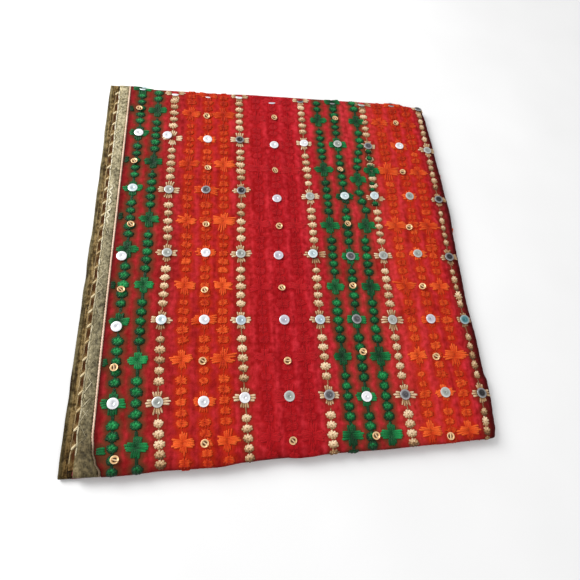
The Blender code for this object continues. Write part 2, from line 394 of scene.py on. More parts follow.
def new_group(name, inputs, outputs):
    """A shader node group with number inputs and their defaults, and number outputs."""
    tree = bpy.data.node_groups.new(name, "ShaderNodeTree")
    for key, value in inputs.items():
        socket = tree.interface.new_socket(key, in_out="INPUT", socket_type="NodeSocketFloat")
        socket.default_value = value
    for key in outputs:
        tree.interface.new_socket(key, in_out="OUTPUT", socket_type="NodeSocketFloat")
    return tree, tree.nodes.new("NodeGroupInput").outputs, tree.nodes.new("NodeGroupOutput").inputs


def give(tree, gives, **results):
    """Leads the results of a group to its outputs."""
    for key, value in results.items():
        tree.links.new(value, gives[key])
    return tree


def crepe_group():
    """Crepe: a fine pebbled grain, crossed by threads, with slubs and streaks that run along it."""
    tree, given, gives = new_group("crepe", {"Grain": 900, "Streaks": 150}, ("Height", "Shade"))
    place = place_on(tree)
    grain = noise(tree, place, given["Grain"], 3)
    streaks = noise(tree, drawn_out(tree, place, 0.12), given["Streaks"], 4)
    slubs = noise(tree, place, 180, 5)
    return give(tree, gives, Height=weighted(tree, (slubs, 1.1), (grain, 0.4)),
                Shade=weighted(tree, (streaks, 0.5), (slubs, 0.5)))


crepe = crepe_group()


def cloth_material():
    """Red crepe: brick red at the left, brighter to the right, and paler between the columns with a painted
    sheen.

    It has painted shade beside the piping and over the side and front folds, down to near black at the
    side fold. Near the green and cream floss it has painted shade with a brownish tint, near the orange
    floss an orange tint, and near the red floss it is darker.
    """
    material, tree = new_material("red_crepe")
    across = remap(tree, axes_of(tree, place_on(tree))[0], -0.21, 0.235)
    # The last stops of the ground darken it to near black: painted shade down the side fold.
    ground = ramp(tree, across,
                  (0.0, dye(142, 24, 22)), (0.14, dye(150, 24, 22)), (0.24, dye(158, 22, 14)),
                  (0.36, dye(168, 20, 16)), (0.45, dye(172, 16, 22)), (0.56, dye(174, 20, 28)),
                  (0.68, dye(176, 40, 38)), (0.8, dye(196, 46, 32)), (0.94, dye(176, 22, 22)),
                  (0.968, dye(130, 8, 14)), (0.984, dye(66, 2, 8)), (1.0, dye(34, 0, 4)))
    grain = put(tree, "Group", node_tree=crepe).outputs
    part = remap(tree, grain["Shade"], 0.34, 0.66)
    # Painted sheen: the open ground away from the floss is lighter and pinker, in patches, as on the puckers
    # between the columns.
    painted_sheen = product(tree, part, remap(tree, across, 0.1, 0.7, 0.3, 0.6))
    open_part = product(tree, value_of(tree, "open_ground"), painted_sheen)
    colour = blend(tree, maths(tree, "MULTIPLY_ADD", part, 0.1, open_part), ground, dye(214, 58, 70))
    colour = blend(tree, maths(tree, "MULTIPLY_ADD", part, -0.75, 0.6), colour, dye(96, 4, 8))
    for name, amount, tint in CLOTH_TINTS_AND_SHADE:
        colour = blend(tree, product(tree, value_of(tree, name), amount), colour, dye(*tint))
    return finish_of(material, colour, grain["Height"], 0.001, 0.75, Sheen_Weight=0.03, Sheen_Roughness=0.4,
                     Sheen_Tint=dye(255, 90, 90), Specular_IOR_Level=0.05)


def cloth_pattern():
    """The flat x, y of the whole outermost layer: over the top, round the side fold and below."""
    u = np.concatenate((np.linspace(0, 1, CLOTH_TOP_LINES), np.ones(SIDE_LINES - 2),
                        np.linspace(1, 0, CLOTH_BELOW_LINES)))[None, :]
    round_side = np.interp(np.linspace(0, np.pi, SIDE_LINES)[1:-1], turns, turn_lengths)
    past = np.concatenate((np.zeros(CLOTH_TOP_LINES), round_side, np.full(CLOTH_BELOW_LINES, SIDE_LENGTH)))
    below = (np.arange(len(past)) >= len(past) - CLOTH_BELOW_LINES)[None, :]
    nominal = along(CLOTH_EDGE, 0) * (1 - u) + along(SIDE_EDGE, 0) * u
    front, back = along(FRONT_EDGE, nominal), along(BACK_EDGE, nominal)
    v = np.linspace(0, 1, CLOTH_LONG_LINES)[:, None]
    flat = front * (1 - v) + back * v
    curl = np.linspace(CLOTH_CURL, 0, CLOTH_CURL_LINES)[:-1, None]
    y = np.concatenate((front - FRONT_ROLL * curl, flat, back + BACK_ROLL * curl[::-1]))
    level_y = np.clip(y, front, back)
    side = along(SIDE_EDGE, level_y)
    left = np.where(below, lower_tape_edge(level_y) + GAP, along(CLOTH_EDGE, level_y))
    x = np.where(below, 2 * side + SIDE_LENGTH - (left * (1 - u) + side * u),
                 left * (1 - u) + side * u + past[None, :])
    return x, y


SEAM_SHADE = 6.0 * MM           # the cloth is in shade this close to the piping
FOLD_SHADE = 6.0 * MM           # and over this much of the side fold, from a little before it
FRONT_SHADE = 20 * MM           # and less so over this much of the front fold
FRONT_SHADE_DEPTH = 0.7


def shaded_parts(x, y):
    """How much in shade the cloth is by the piping and round the side and front folds, 0 to 1."""
    past = x - along(SIDE_EDGE, y)
    beneath = np.clip(1 - (past - SIDE_LENGTH) / (4 * FOLD_SHADE), 0, 1)
    by_piping = np.clip(1 - (x - along(CLOTH_EDGE, y)) / SEAM_SHADE, 0, 1)
    by_side = np.clip(past / FOLD_SHADE + 0.4, 0, 1) * beneath
    by_front = FRONT_SHADE_DEPTH * np.clip((along(FRONT_EDGE, x) - y) / FRONT_SHADE + 0.5, 0, 1)
    return np.maximum(np.maximum(by_piping, by_side), by_front)


cloth_x, cloth_y = cloth_pattern()
# Painted shade: by the piping and over the side and front folds.
seam = np.tile(shaded_parts(cloth_x, cloth_y).ravel(), 2)
cloth = sewn("shawl_cloth", *walled_sheet(lay(cloth_x, cloth_y, 0.0), lay(cloth_x, cloth_y, -WALL)),
             cloth_material(), in_seam=seam)
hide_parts("outer_cloth")

# The hidden layers are the rest of the same red cloth, pressed together inside the fold. They
# show as a second row of folds along the back, as the roll behind the front edge, and at the left.
INNER_DEPTH = WALL + GAP
FOLD_PLAY = 0.4 * MM            # the two inner folds at the back are this much smaller
LEDGE_DROP = 0.2 * MM           # the lower layers' ledge lies this far below the middle
INNER_LINES = 90                # lines of points across the top, and from front to back
INNER_BELOW_LINES = 8
BEND_LINES = 13                 # round each fold
INNER_FADE = 1 / 50             # the relief sets in over this part of the way from front to back


def upper_tape_edge(y):
    """The inner edge of the upper tape: the piping lies between it and the cloth."""
    return along(CLOTH_EDGE, y) - 2 * (PIPING_RADIUS + GAP)


def inner_rings():
    """Points of the hidden layers: level stretches between rounded folds, wrapped round the side."""
    top = np.linspace(0, 1, INNER_LINES)
    side = np.linspace(0, np.pi, SIDE_LINES)[1:-1]
    u = np.concatenate((top, np.ones(len(side)), np.linspace(1, 0, INNER_BELOW_LINES)))[None, :]
    turn = np.concatenate((np.zeros(len(top)), side, np.full(INNER_BELOW_LINES, np.pi)))[None, :]
    bend = np.linspace(0, np.pi, BEND_LINES)
    first_fold, second_fold = FRONT_ROLL - INNER_DEPTH, BACK_ROLL - FOLD_PLAY
    v = np.concatenate((np.zeros(BEND_LINES - 1), top, np.ones(BEND_LINES)))[:, None]
    out = np.concatenate((-first_fold * np.sin(bend[:0:-1]), np.zeros(INNER_LINES),
                          second_fold * np.sin(bend)))[:, None]
    reach = np.concatenate((HALF - FRONT_ROLL + first_fold * np.cos(bend[:0:-1]),
                            np.full(INNER_LINES, HALF - INNER_DEPTH),
                            BACK_ROLL + second_fold * np.cos(bend)))[:, None]
    nominal = along(CLOTH_EDGE, 0) * (1 - u) + along(SIDE_EDGE, 0) * u
    y = along(FRONT_EDGE, nominal) * (1 - v) + along(BACK_EDGE, nominal) * v
    above = (1 + np.cos(turn)) / 2
    left = (upper_tape_edge(y) + GAP) * above + (lower_tape_edge(y) + GAP) * (1 - above)
    fade = np.clip(np.minimum(v, 1 - v) / INNER_FADE, 0, 1)
    x = left * (1 - u) + along(SIDE_EDGE, y) * u
    reach = reach + np.where((v > 0) & (v < 1), np.minimum(relief(x, y), 0) * above ** 3 * fade, 0)
    return np.stack(np.broadcast_arrays(x + reach * SIDE_ROLL / HALF * np.sin(turn), y + out,
                                        HALF + reach * np.cos(turn)), axis=-1)


def inner_folds():
    """Points and faces of the hidden layers as one solid with a groove along the front and back."""
    rings = inner_rings()
    flat = np.arange(BEND_LINES - 1, BEND_LINES - 1 + INNER_LINES)
    ledge = rings[flat][:, (0, -1)].swapaxes(0, 1)
    ledge[:, :, 2] = HALF - LEDGE_DROP
    place = np.arange(rings.shape[0] * rings.shape[1]).reshape(rings.shape[:2])
    upper, lower = place.size + np.arange(2 * len(flat)).reshape(2, -1)
    faces = [quads(place), quads(np.stack((upper, lower)))]
    first, last = flat[0], flat[-1]
    for side, line in ((place[:, 0], upper), (place[:, -1], lower)):
        faces += [
            quads(np.stack((side[flat[1:-1]], line[1:-1]))),
            side[None, :first + 1],
            side[None, last + 1:],
            np.array(((side[first + 1], side[first], side[0], line[0], line[1]),)),
            np.array(((side[last - 1], side[last], side[last + 1], side[-1], line[-1], line[-2]),)),
        ]
    faces += [np.array(((*place[end], lower[end], upper[end]),)) for end in (0, -1)]
    return np.concatenate((rings.reshape(-1, 3), ledge.reshape(-1, 3))), faces


def inner_material():
    """The same crepe, in shade and closely pressed."""
    material, tree = new_material("red_crepe_inside")
    grain = put(tree, "Group", node_tree=crepe).outputs
    colour = ramp(tree, grain["Shade"], (0.3, dye(110, 8, 14)), (0.7, dye(168, 24, 30)))
    return finish_of(material, colour, grain["Height"], 0.0006, 0.78, Sheen_Weight=0.2)


def face_outwards(piece):
    """Turns the faces of a closed piece outwards."""
    work = bmesh.new()
    work.from_mesh(piece.data)
    bmesh.ops.recalc_face_normals(work, faces=work.faces)
    work.to_mesh(piece.data)
    work.free()


folds = sewn("inner_folds", *inner_folds(), inner_material())
face_outwards(folds)
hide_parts("inner_layers")

# The hems carry tape of gold tissue, woven of flat metal strip over thread, 13 mm wide and
# crinkled by its stitching. It is folded to and fro with the cloth; the lower one is mirrored.
TAPE_WALL = 1.1 * MM
TAPE_LINES = 9
TAPE_CRINKLE = 0.35 * MM
TAPE_EDGE_STRAY = 0.5 * MM
LOWER_OUT = 5.2 * MM            # the lower tape stands out this much further at the back
HEM_LINES = 196                 # of points along each layer of a hem
FOLD_LINES = 10                 # and round each of its folds
# What the tape's colour is multiplied by towards the front and at the front corner, each with the
# two places along the tape between which it sets in
TAPE_DULL = (0.46, 0.45, 0.4, 1)
DULL_STRETCH = (0.22, -0.08)
TAPE_CORNER = (0.6, 0.54, 0.44, 1)
CORNER_STRETCH = (-0.18, -0.23)


def left_ends():
    """The y at which the front and back folds start, down the left side."""
    corner = along(CLOTH_EDGE, 0)
    return along(FRONT_EDGE, corner), along(BACK_EDGE, corner)


def fold_line(centre_y, centre_z, radius, start, end):
    """Points (y, z) along a fold, from one angle to another, measured from +Y towards +Z."""
    angles = np.radians(np.linspace(start, end, FOLD_LINES))
    return np.stack((centre_y + radius * np.cos(angles), centre_z + radius * np.sin(angles)), axis=1)


def hem_path(front, back):
    """The one line (y, z) that a hem follows through its four layers, and which layer it is in."""
    level = [2 * HALF - (number - 0.5) * LAYER for number in (1, 2, 3, 4)]
    steps = np.linspace(front, back, HEM_LINES + 2)[1:-1]
    run = [np.stack((steps, np.full(len(steps), height)), axis=1) for height in level]
    stretches = (
        run[1],
        fold_line(back, (level[0] + level[1]) / 2, LAYER / 2, -90, 90),
        run[0][::-1],
        fold_line(front, (level[0] + level[3]) / 2, 1.5 * LAYER, 90, 270),
        run[3],
        fold_line(back, (level[2] + level[3]) / 2, LAYER / 2, -90, 90),
        run[2][::-1],
    )
    layers = np.repeat((2, 0, 1, 0, 4, 0, 3), [len(stretch) for stretch in stretches])
    return np.concatenate(stretches), layers


def tape_rise(x, y):
    """How far the crinkles of the tissue lift its face at x, y."""
    fine = lumps(x + 0.3 * y, y, (0.0034, 0.0046), 11)
    return TAPE_CRINKLE * (0.9 + 0.7 * fine + 0.6 * lumps(x, y, (0.006, 0.014), 12))


def unit(vectors):
    """Vectors of length 1 on the same headings."""
    return vectors / np.linalg.norm(vectors, axis=-1, keepdims=True)


def hem_tape(name, inner_edge, outer_edge, mirrored, material):
    """A tape: rings of two faces across it, set off to each side of the hem's path.

    The face that shows is lifted by its crinkles, less so towards the tape's edges and ends.
    """
    front, back = left_ends()
    back += LOWER_OUT * mirrored
    path, layer = hem_path(front, back)
    layer = layer[:, None]
    step = unit(np.gradient(path, axis=0))
    beside = np.stack((-step[:, 1], step[:, 0]), axis=1)[:, None] * TAPE_WALL / 2
    flat_y = np.clip(path[:, 0], front, back)[:, None]
    part = np.linspace(0, 1, TAPE_LINES)[None, :]
    stray = TAPE_EDGE_STRAY * lumps(flat_y, layer * 0.02, (0.02, 0.02), 13) * (layer != 1)
    x = inner_edge(flat_y) * (1 - part) + (along(outer_edge, flat_y) + stray) * part
    ends = np.clip(np.minimum(flat_y - front, back - flat_y) / EDGE_FADE, 0, 1)
    facing, shown = (-1, 3) if mirrored else (1, 1)
    lift = facing * (layer == shown) * ends * np.sin(np.pi * part) ** 0.5 * tape_rise(x, flat_y)
    outward = beside[:, :, 1] * facing > 0
    walls = [path[:, None] + side + np.stack((np.zeros_like(lift), lift * over), axis=-1)
             for side, over in ((beside, outward), (-beside, ~outward))]
    rings = np.concatenate((np.concatenate((x, x[:, ::-1]), axis=1)[:, :, None],
                            np.concatenate((walls[0], walls[1][:, ::-1]), axis=1)), axis=2)
    if mirrored:
        rings[:, :, 2] = 2 * HALF - rings[:, :, 2]
    worn = np.concatenate((part, part[:, ::-1]), axis=1) * np.ones((len(path), 1))
    piece = sewn(name, *tube_of_rings(rings), material, across=worn.ravel())
    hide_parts("upper_hem_tape" if not mirrored else "lower_hem_tape")
    return piece


def tissue_group():
    """Gold tissue: fine strips along the tape, broken by crinkles that catch the light."""
    tree, given, gives = new_group("tissue", {"Flecks": 260, "Strips": 900, "Runs": 0.0}, ("Height", "Shine"))
    place = place_on(tree)
    strips = noise(tree, drawn_out(tree, place, 0.25), given["Strips"])
    flecks = noise(tree, place, given["Flecks"], 4, 0.65)
    crinkles = noise(tree, place, 120)
    runs = maths(tree, "SUBTRACT", noise(tree, drawn_out(tree, place, 0.07), 420, 3), 0.5)
    shine = weighted(tree, (flecks, 0.55), (crinkles, 0.3), (strips, 0.15))
    return give(tree, gives, Height=weighted(tree, (crinkles, 0.8), (flecks, 0.5), (strips, 0.3)),
                Shine=maths(tree, "ADD", shine, product(tree, runs, given["Runs"])))


tissue = tissue_group()


def tape_material(name, runs, specular, shadow, *sides):
    """Gold tissue, duller towards the front and darker and browner at the front corner.

    Its inner and its outer side each have the places of three tones on the shine, the last two of
    those tones, and how dull they grow.
    """
    material, tree = new_material(name)
    weave = put(tree, "Group", {"Runs": runs}, node_tree=tissue).outputs
    y = axes_of(tree, place_on(tree))[1]
    tones = []
    for places, body, glint, dull in sides:
        tone = ramp(tree, weave["Shine"], *zip(places, (dye(*shadow), dye(*body), dye(*glint))))
        tones.append(blend(tree, remap(tree, y, *DULL_STRETCH, 0.0, dull), tone, TAPE_DULL, "MULTIPLY"))
    colour = blend(tree, remap(tree, value_of(tree, "across"), 0.6, 0.85), *tones)
    colour = blend(tree, remap(tree, y, *CORNER_STRETCH), colour, TAPE_CORNER, "MULTIPLY")
    return finish_of(material, colour, weave["Height"], 0.0014, 0.5, Metallic=0.15,
                     Specular_IOR_Level=specular)


INNER_SHINE = (0.41, 0.5, 0.59)
OUTER_SHINE = (0.34, 0.46, 0.6)
upper_tape = hem_tape("upper_tape", upper_tape_edge, UPPER_HEM, False, tape_material(
    "gold_tissue", 0.0, 0.25, (88, 78, 52),
    (INNER_SHINE, (150, 140, 108), (196, 184, 150), 1.0),
    (OUTER_SHINE, (138, 126, 90), (196, 184, 148), 0.55)))
# The lower tape's darker colours are partly painted shade, as it lies below the upper hem, and partly dirt.
lower_tape = hem_tape("lower_tape", lower_tape_edge, LOWER_HEM, True, tape_material(
    "gold_tissue_dirty_shaded", 0.7, 0.08, (50, 34, 6),
    (INNER_SHINE, (92, 72, 34), (150, 126, 82), 0.4),
    (OUTER_SHINE, (84, 74, 44), (120, 108, 76), 0.5)))

# The piping is a cotton cord in a narrow pinkish cream binding, caught in the seam between the
# tape and the red cloth. It turns down over the front fold with them.
PIPING_TWIST = 3.4 * MM         # from one turn of its twist to the next
PIPING_RIDGE = 0.22 * MM
PIPING_AROUND = 12
PIPING_LINES = 400
PIPING_TURNED = np.radians(50)  # how far it turns down over the front fold
PIPING_LEVEL = np.radians(4)    # the last turn before it lies level
PIPING_TURN_LINES = 8           # rings between the two


def piping_rings():
    """Rings round the piping's line, each a circle with two low ridges that turn along the cord."""
    front, back = left_ends()
    down = np.linspace(PIPING_TURNED, PIPING_LEVEL, PIPING_TURN_LINES)
    level = np.zeros(PIPING_LINES)
    roll = FRONT_ROLL - PIPING_SUNK
    y = np.concatenate((front - roll * np.sin(down), np.linspace(front, back, PIPING_LINES)))[:, None]
    drop = np.concatenate((roll * (1 - np.cos(down)), level))[:, None]
    tilt = np.concatenate((-down, level))[:, None]
    x = along(CLOTH_EDGE, np.maximum(y, front)) - PIPING_RADIUS - GAP
    around = np.linspace(0, 2 * np.pi, PIPING_AROUND, endpoint=False)[None, :]
    radius = PIPING_RADIUS + PIPING_RIDGE * np.cos(2 * (around - np.pi * y / PIPING_TWIST))
    up = radius * np.sin(around)
    return np.stack((x + radius * np.cos(around), y + up * np.sin(tilt),
                     2 * HALF - PIPING_SUNK - drop + up * np.cos(tilt)), axis=-1)


def piping_material():
    """Pinkish cream cotton, a little soiled, and brown towards the front corner."""
    material, tree = new_material("piping_cotton")
    grain = put(tree, "Group", {"Grain": 1400, "Streaks": 240}, node_tree=crepe).outputs
    clean = ramp(tree, grain["Shade"], (0.3, dye(182, 142, 116)), (0.5, dye(222, 188, 162)),
                 (0.7, dye(246, 220, 198)))
    towards_corner = remap(tree, axes_of(tree, place_on(tree))[1], -0.218, -0.234)
    colour = blend(tree, towards_corner, clean, dye(92, 72, 46))
    return finish_of(material, colour, grain["Height"], 0.0003, 0.6, Sheen_Weight=0.15)


piping = sewn("piping_cord", *tube_of_rings(piping_rings()), piping_material())
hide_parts("piping")

# The braid is a narrow brown braid sewn along the lower tape beside the upper hem. Gold thread
# runs to and fro across it and leaves dark eyes between its turns.
BRAID_WIDTH = 5.4 * MM
BRAID_CLEAR = 0.8 * MM          # from the upper hem
BRAID_WALL = 1.0 * MM
BRAID_RIDGE = 0.5 * MM
BRAID_STEP = 9.2 * MM           # half of one zigzag
BRAID_ACROSS = 19               # points across it
BRAID_LINE = 0.6 * MM           # between its lines of points
BRAID_UNEVEN = 0.25             # how much the eyes vary in size
# Its two rows of eyes, in mm: place across from its outer side, place along, half width, half length
BRAID_EYES = ((3.3, -8.6, 2.5, 7.4), (0.9, -9.4, 0.8, 4.4))
BRAID_BOTTOM = HALF - LAYER / 2 + TAPE_WALL / 2 + GAP


def braid_rings():
    """Rings along the braid, and how hollow each point is: a low body with oval eyes pressed in it.

    An eye is 1 less the distance from its middle, measured in its half width and half length.
    """
    front, back = left_ends()
    y = np.arange(back - BRAID_STEP, front + BRAID_STEP / 2, -BRAID_LINE)[:, None]
    part = np.linspace(0, 1, BRAID_ACROSS)[None, :]
    x = along(UPPER_HEM, y) - BRAID_CLEAR - BRAID_WIDTH * part
    hollow = np.zeros(x.shape)
    larger = 1 + BRAID_UNEVEN * lumps(y, 0 * y, (0.02, 0.02), 17)
    for aside, ahead, half_width, half_length in np.array(BRAID_EYES) * MM:
        phase = np.mod(y - back - ahead, 2 * BRAID_STEP) - BRAID_STEP
        far = np.hypot((BRAID_WIDTH * (1 - part) - aside) / half_width, phase / half_length) / larger
        hollow = np.maximum(hollow, np.clip(2 * (1 - far), 0, 1))
    top = BRAID_BOTTOM + BRAID_WALL - BRAID_RIDGE * hollow
    low = np.full(y.shape, BRAID_BOTTOM)
    corners = np.stack((x, y * np.ones_like(x), top), axis=-1)
    ends = [np.stack((x[:, -1:], y, low), axis=-1), np.stack((x[:, :1], y, low), axis=-1)]
    return np.concatenate((corners, *ends), axis=1), np.pad(hollow, ((0, 0), (0, 2)))


def braid_material():
    """Tan and brown thread with a fine plaited grain, dark in its eyes, where the dark is painted shade in
    their hollows.
    """
    material, tree = new_material("brown_braid")
    weave = put(tree, "Group", {"Flecks": 500, "Strips": 1200, "Runs": 0.5}, node_tree=tissue).outputs
    plain = ramp(tree, weave["Shine"], (0.38, dye(74, 54, 22)), (0.52, dye(118, 92, 52)),
                 (0.68, dye(172, 144, 104)))
    # The eyes are darkened with painted shade.
    colour = blend(tree, value_of(tree, "hollow"), plain, dye(72, 38, 8))
    return finish_of(material, colour, weave["Height"], 0.0008, 0.7, Specular_IOR_Level=0.1)


rings_of_braid, hollows = braid_rings()
braid = sewn("braid", *tube_of_rings(rings_of_braid), braid_material(), hollow=hollows.ravel())
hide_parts("zigzag_braid")

# The embroidery is satin stitch in untwisted floss, worked in columns: plain crosses and, between
# them, five florets, with a thread that runs on from one to the next. Each stitch is a small pod.
STITCH_PARTS = np.array((0.06, 0.34, 0.72, 0.95))
STITCH_SWELL = np.array((0.66, 1.0, 1.0, 0.8))
STITCH_AROUND = np.radians((-25, 32, 90, 148, 205))
LINK_HEIGHT = 0.35 * MM         # of the running thread
LINK_SLACK = 0.5 * MM           # how far aside it strays, as a spread
STRAND_SHIFT = 8.14             # from stitch to stitch, so that their strands differ
FAN_ROUNDING = 0.08             # how much shorter an arm's stitches are for each place aside


def strand_group():
    """Floss: fine strands along each stitch, as a wave of the place across it, with loose ones."""
    tree, given, gives = new_group("strands", {"Strands": 5}, ("Height", "Shade"))
    place = axes_of(tree, put(tree, "TexCoord").outputs["UV"])
    aside = product(tree, place[1], given["Strands"])
    loose = noise(tree, put(tree, "CombineXYZ", {0: product(tree, place[0], 0.35), 1: aside}).outputs[0], 1.6)
    turn = weighted(tree, (loose, 5.0), (aside, 2 * np.pi))
    wave = maths(tree, "MULTIPLY_ADD", maths(tree, "SINE", turn), 0.5, 0.5)
    return give(tree, gives, Height=wave, Shade=weighted(tree, (wave, 0.5), (loose, 0.5)))


strands = strand_group()


def floss_material(name, shadow, body, light, roughness=0.46, specular=0.25):
    """Floss of one colour, its tone painted light and shade: dark where a stitch dives, lighter on its back,
    with fine strands.
    """
    material, tree = new_material(name)
    lines = put(tree, "Group", node_tree=strands).outputs
    mixed = maths(tree, "MULTIPLY_ADD", maths(tree, "SUBTRACT", lines["Shade"], 0.5), 0.45,
                  value_of(tree, "tone"))
    colour = ramp(tree, mixed, (0.05, dye(*shadow)), (0.42, dye(*body)), (0.95, dye(*light)))
    return finish_of(material, colour, lines["Height"], 0.0003, roughness,
                     Sheen_Weight=0.03, Specular_IOR_Level=specular)


def repeated(faces, count, step):
    """The same faces for each of many copies, whose points are numbered on by a step."""
    return (faces[None] + (np.arange(count) * step)[:, None, None]).reshape(-1, faces.shape[1])


def floss(name, stitches, place, material):
    """Makes a piece of stitches: rows of x and y of both ends, width, height, start and end tone.

    Each stitch is a pod through four rings, which widen from its ends; a ring's points lie on
    part of an ellipse across the stitch, and its floor is a little under the face it lies on.
    """
    count, around = len(stitches), len(STITCH_AROUND)
    start, end = stitches[:, None, None, 0:2], stitches[:, None, None, 2:4]
    width, height = stitches[:, 4, None, None], stitches[:, 5, None, None]
    run = end - start
    length = np.linalg.norm(run, axis=-1)
    run = run / length[..., None]
    swell = STITCH_SWELL[None, :, None]
    aside = np.cos(STITCH_AROUND)[None, None, :] * swell * width / 2
    lift = np.sin(STITCH_AROUND)[None, None, :] * swell * height
    across = np.concatenate((-run[..., 1:], run[..., :1]), axis=-1)
    flat = start + run * (STITCH_PARTS[None, :, None] * length)[..., None] + across * aside[..., None]
    rings = place(flat[..., 0], flat[..., 1], lift).reshape(count, -1, 3)
    tips = place(stitches[:, (0, 2)], stitches[:, (1, 3)], np.zeros((count, 2)))
    points = np.concatenate((rings, tips), axis=1).reshape(-1, 3)
    grid = np.arange(len(STITCH_PARTS) * around).reshape(-1, around)
    body = quads(np.concatenate((grid, grid[:, :1]), axis=1))
    low = np.stack((np.full(around, grid.size), grid[0], np.roll(grid[0], -1)), axis=1)
    high = np.stack((np.full(around, grid.size + 1), np.roll(grid[-1], -1), grid[-1]), axis=1)
    faces = [repeated(part, count, grid.size + 2) for part in (body, np.concatenate((low, high)))]
    run_part = np.concatenate((np.repeat(STITCH_PARTS, around), (0, 1)))[None, :]
    tone = stitches[:, 6, None] * (1 - run_part) + stitches[:, 7, None] * run_part
    round_part = np.concatenate((np.tile(np.linspace(0, 1, around), len(STITCH_PARTS)), (0.5, 0.5)))
    shifted = round_part + STRAND_SHIFT * np.arange(count)[:, None]
    uv = np.stack((run_part * length[:, 0] / MM, shifted), axis=-1)
    piece = sewn(name, points, faces, material, uv=uv.reshape(-1, 2), tone=tone.ravel())
    return piece


def fan(heading, count, inner, outer, inner_gap, outer_gap, width, height, tones):
    """Stitches of one arm, in mm: side by side, from an inner line to an outer one, on a heading."""
    place = np.arange(count) - (count - 1) / 2
    heading = np.radians(heading)
    side = np.array((-np.sin(heading), np.cos(heading)))
    forward = np.array((np.cos(heading), np.sin(heading)))
    start = forward * inner + side * (place * inner_gap)[:, None]
    reach = outer * (1 - FAN_ROUNDING * np.abs(place))
    end = forward * reach[:, None] + side * (place * outer_gap)[:, None]
    return np.hstack((start, end, np.tile((width, height, *tones), (count, 1))))


def fans(*arms):
    """Stitches of several arms."""
    return np.concatenate([fan(*arm) for arm in arms])


def burst(count, hollow, wide, tall, width, height, tones, turned=0.0, lit=0.0):
    """Stitches of one floret, in mm: out from round its centre to an ellipse, lighter to the back as painted
    light.
    """
    angle = 2 * np.pi * (np.arange(count) + turned) / count
    out = np.stack((np.cos(angle), np.sin(angle)), axis=1)
    ends = out * (wide / 2, tall / 2)
    tone = np.tile(tones, (count, 1)) + lit * np.sin(angle)[:, None]
    return np.hstack((out * hollow, ends, np.tile((width, height), (count, 1)), tone))


STRAY_ROWS = (1, 2, 3, 4, 5)
# How far each mirror's cross strays from the regular rows and columns, in mm: x, y for rows 1 to 5
STRAYS = (
    ((1, 3), (0, 2), (0, 3), (-1, 0), (1, -1)),
    ((0, -3), (-1, 1), (1, -1), (-1, 2), (0, -1)),
    ((1, -3), (0, 3), (1, 0), (1, 2), (2, -2)),
    ((-1, -1), (0, 4), (-2, -1), (-3, 1), (0, 1)),
    ((1, -7), (1, -7), (-1, -3), (2, 1), (3, 1)),
    ((-2, -1), (0, -2), (0, -1), (-1, 1), (2, 1)),
    ((1, 0), (2, 0), (0, -3), (-2, 1), (-1, -2)),
    ((1, 0), (0, -1), (-2, -1), (-3, 0), (-1, -1)),
    ((3, 3), (4, 4), (0, 3), (1, 1), (2, 0)),
    ((0, -2), (0, 0), (-2, -1), (0, 0), (1, -2)),
)
# The same for the sequins, half a row on, from row 0.5 to row 5.5
SEQUIN_STRAYS = {
    0: ((-1, 0), (-1, -1), (2, -8), (-2, -6), (-1, -8), (8, -12)),
    2: ((-1, -6), (2, -7), (1, -5), (1, -6), (0, -2), (4, 0)),
    4: ((3, -2), (0, -6), (2, -5), (1, -3), (3, -4), (4, -1)),
    6: ((2, 3), (0, -1), (1, 0), (-2, 0), (1, 5), (4, 0)),
    8: ((4, 2), (0, 0), (-5, -2), (-2, 0), (-1, -2), (-2, -4)),
}
# Past row 5 the work bends aside and its rows draw closer: column, mm aside for each row, closer
FRONT_BEND = (
    (0, 6.0, 0.02), (0.5, 8.5, 0.02), (1, 8.3, 0.11), (1.5, 8.0, 0.11), (3, 5.5, 0.11),
    (5, 0.0, 0.11), (7, 2.5, 0.11), (9, -6.0, 0.11),
)
BACK_ROW_STRAY = -7.5 * MM      # the row of crosses at the back edge is drawn in by the fold
LEAST = 1e-6                    # keeps a place within the last square of the table


def lattice(column, row):
    """The flat x, y of a place in the regular columns and rows."""
    return np.stack((FIRST_COLUMN + np.asarray(column) * COLUMN, FIRST_ROW - np.asarray(row) * ROW), axis=-1)


def spot(column, row):
    """The flat x, y of a place in the columns and rows, with how the work strays there."""
    column, row = np.broadcast_arrays(np.asarray(column, float), np.asarray(row, float))
    table = np.array(STRAYS) * MM
    c = np.clip(column, 0, len(STRAYS) - 1 - LEAST)
    r = np.clip(row - STRAY_ROWS[0], 0, len(STRAY_ROWS) - 1 - LEAST)
    i, j = c.astype(int), r.astype(int)
    fc, fr = (c - i)[..., None], (r - j)[..., None]
    stray = ((table[i, j] * (1 - fr) + table[i, j + 1] * fr) * (1 - fc)
             + (table[i + 1, j] * (1 - fr) + table[i + 1, j + 1] * fr) * fc)
    past = np.clip(row - STRAY_ROWS[-1], 0, 1)
    bend_columns, bends, closer = np.array(FRONT_BEND).T
    stray[..., 0] += np.interp(column, bend_columns, bends) * past * MM
    return lattice(column, row - np.interp(column, bend_columns, closer) * past * past) + stray


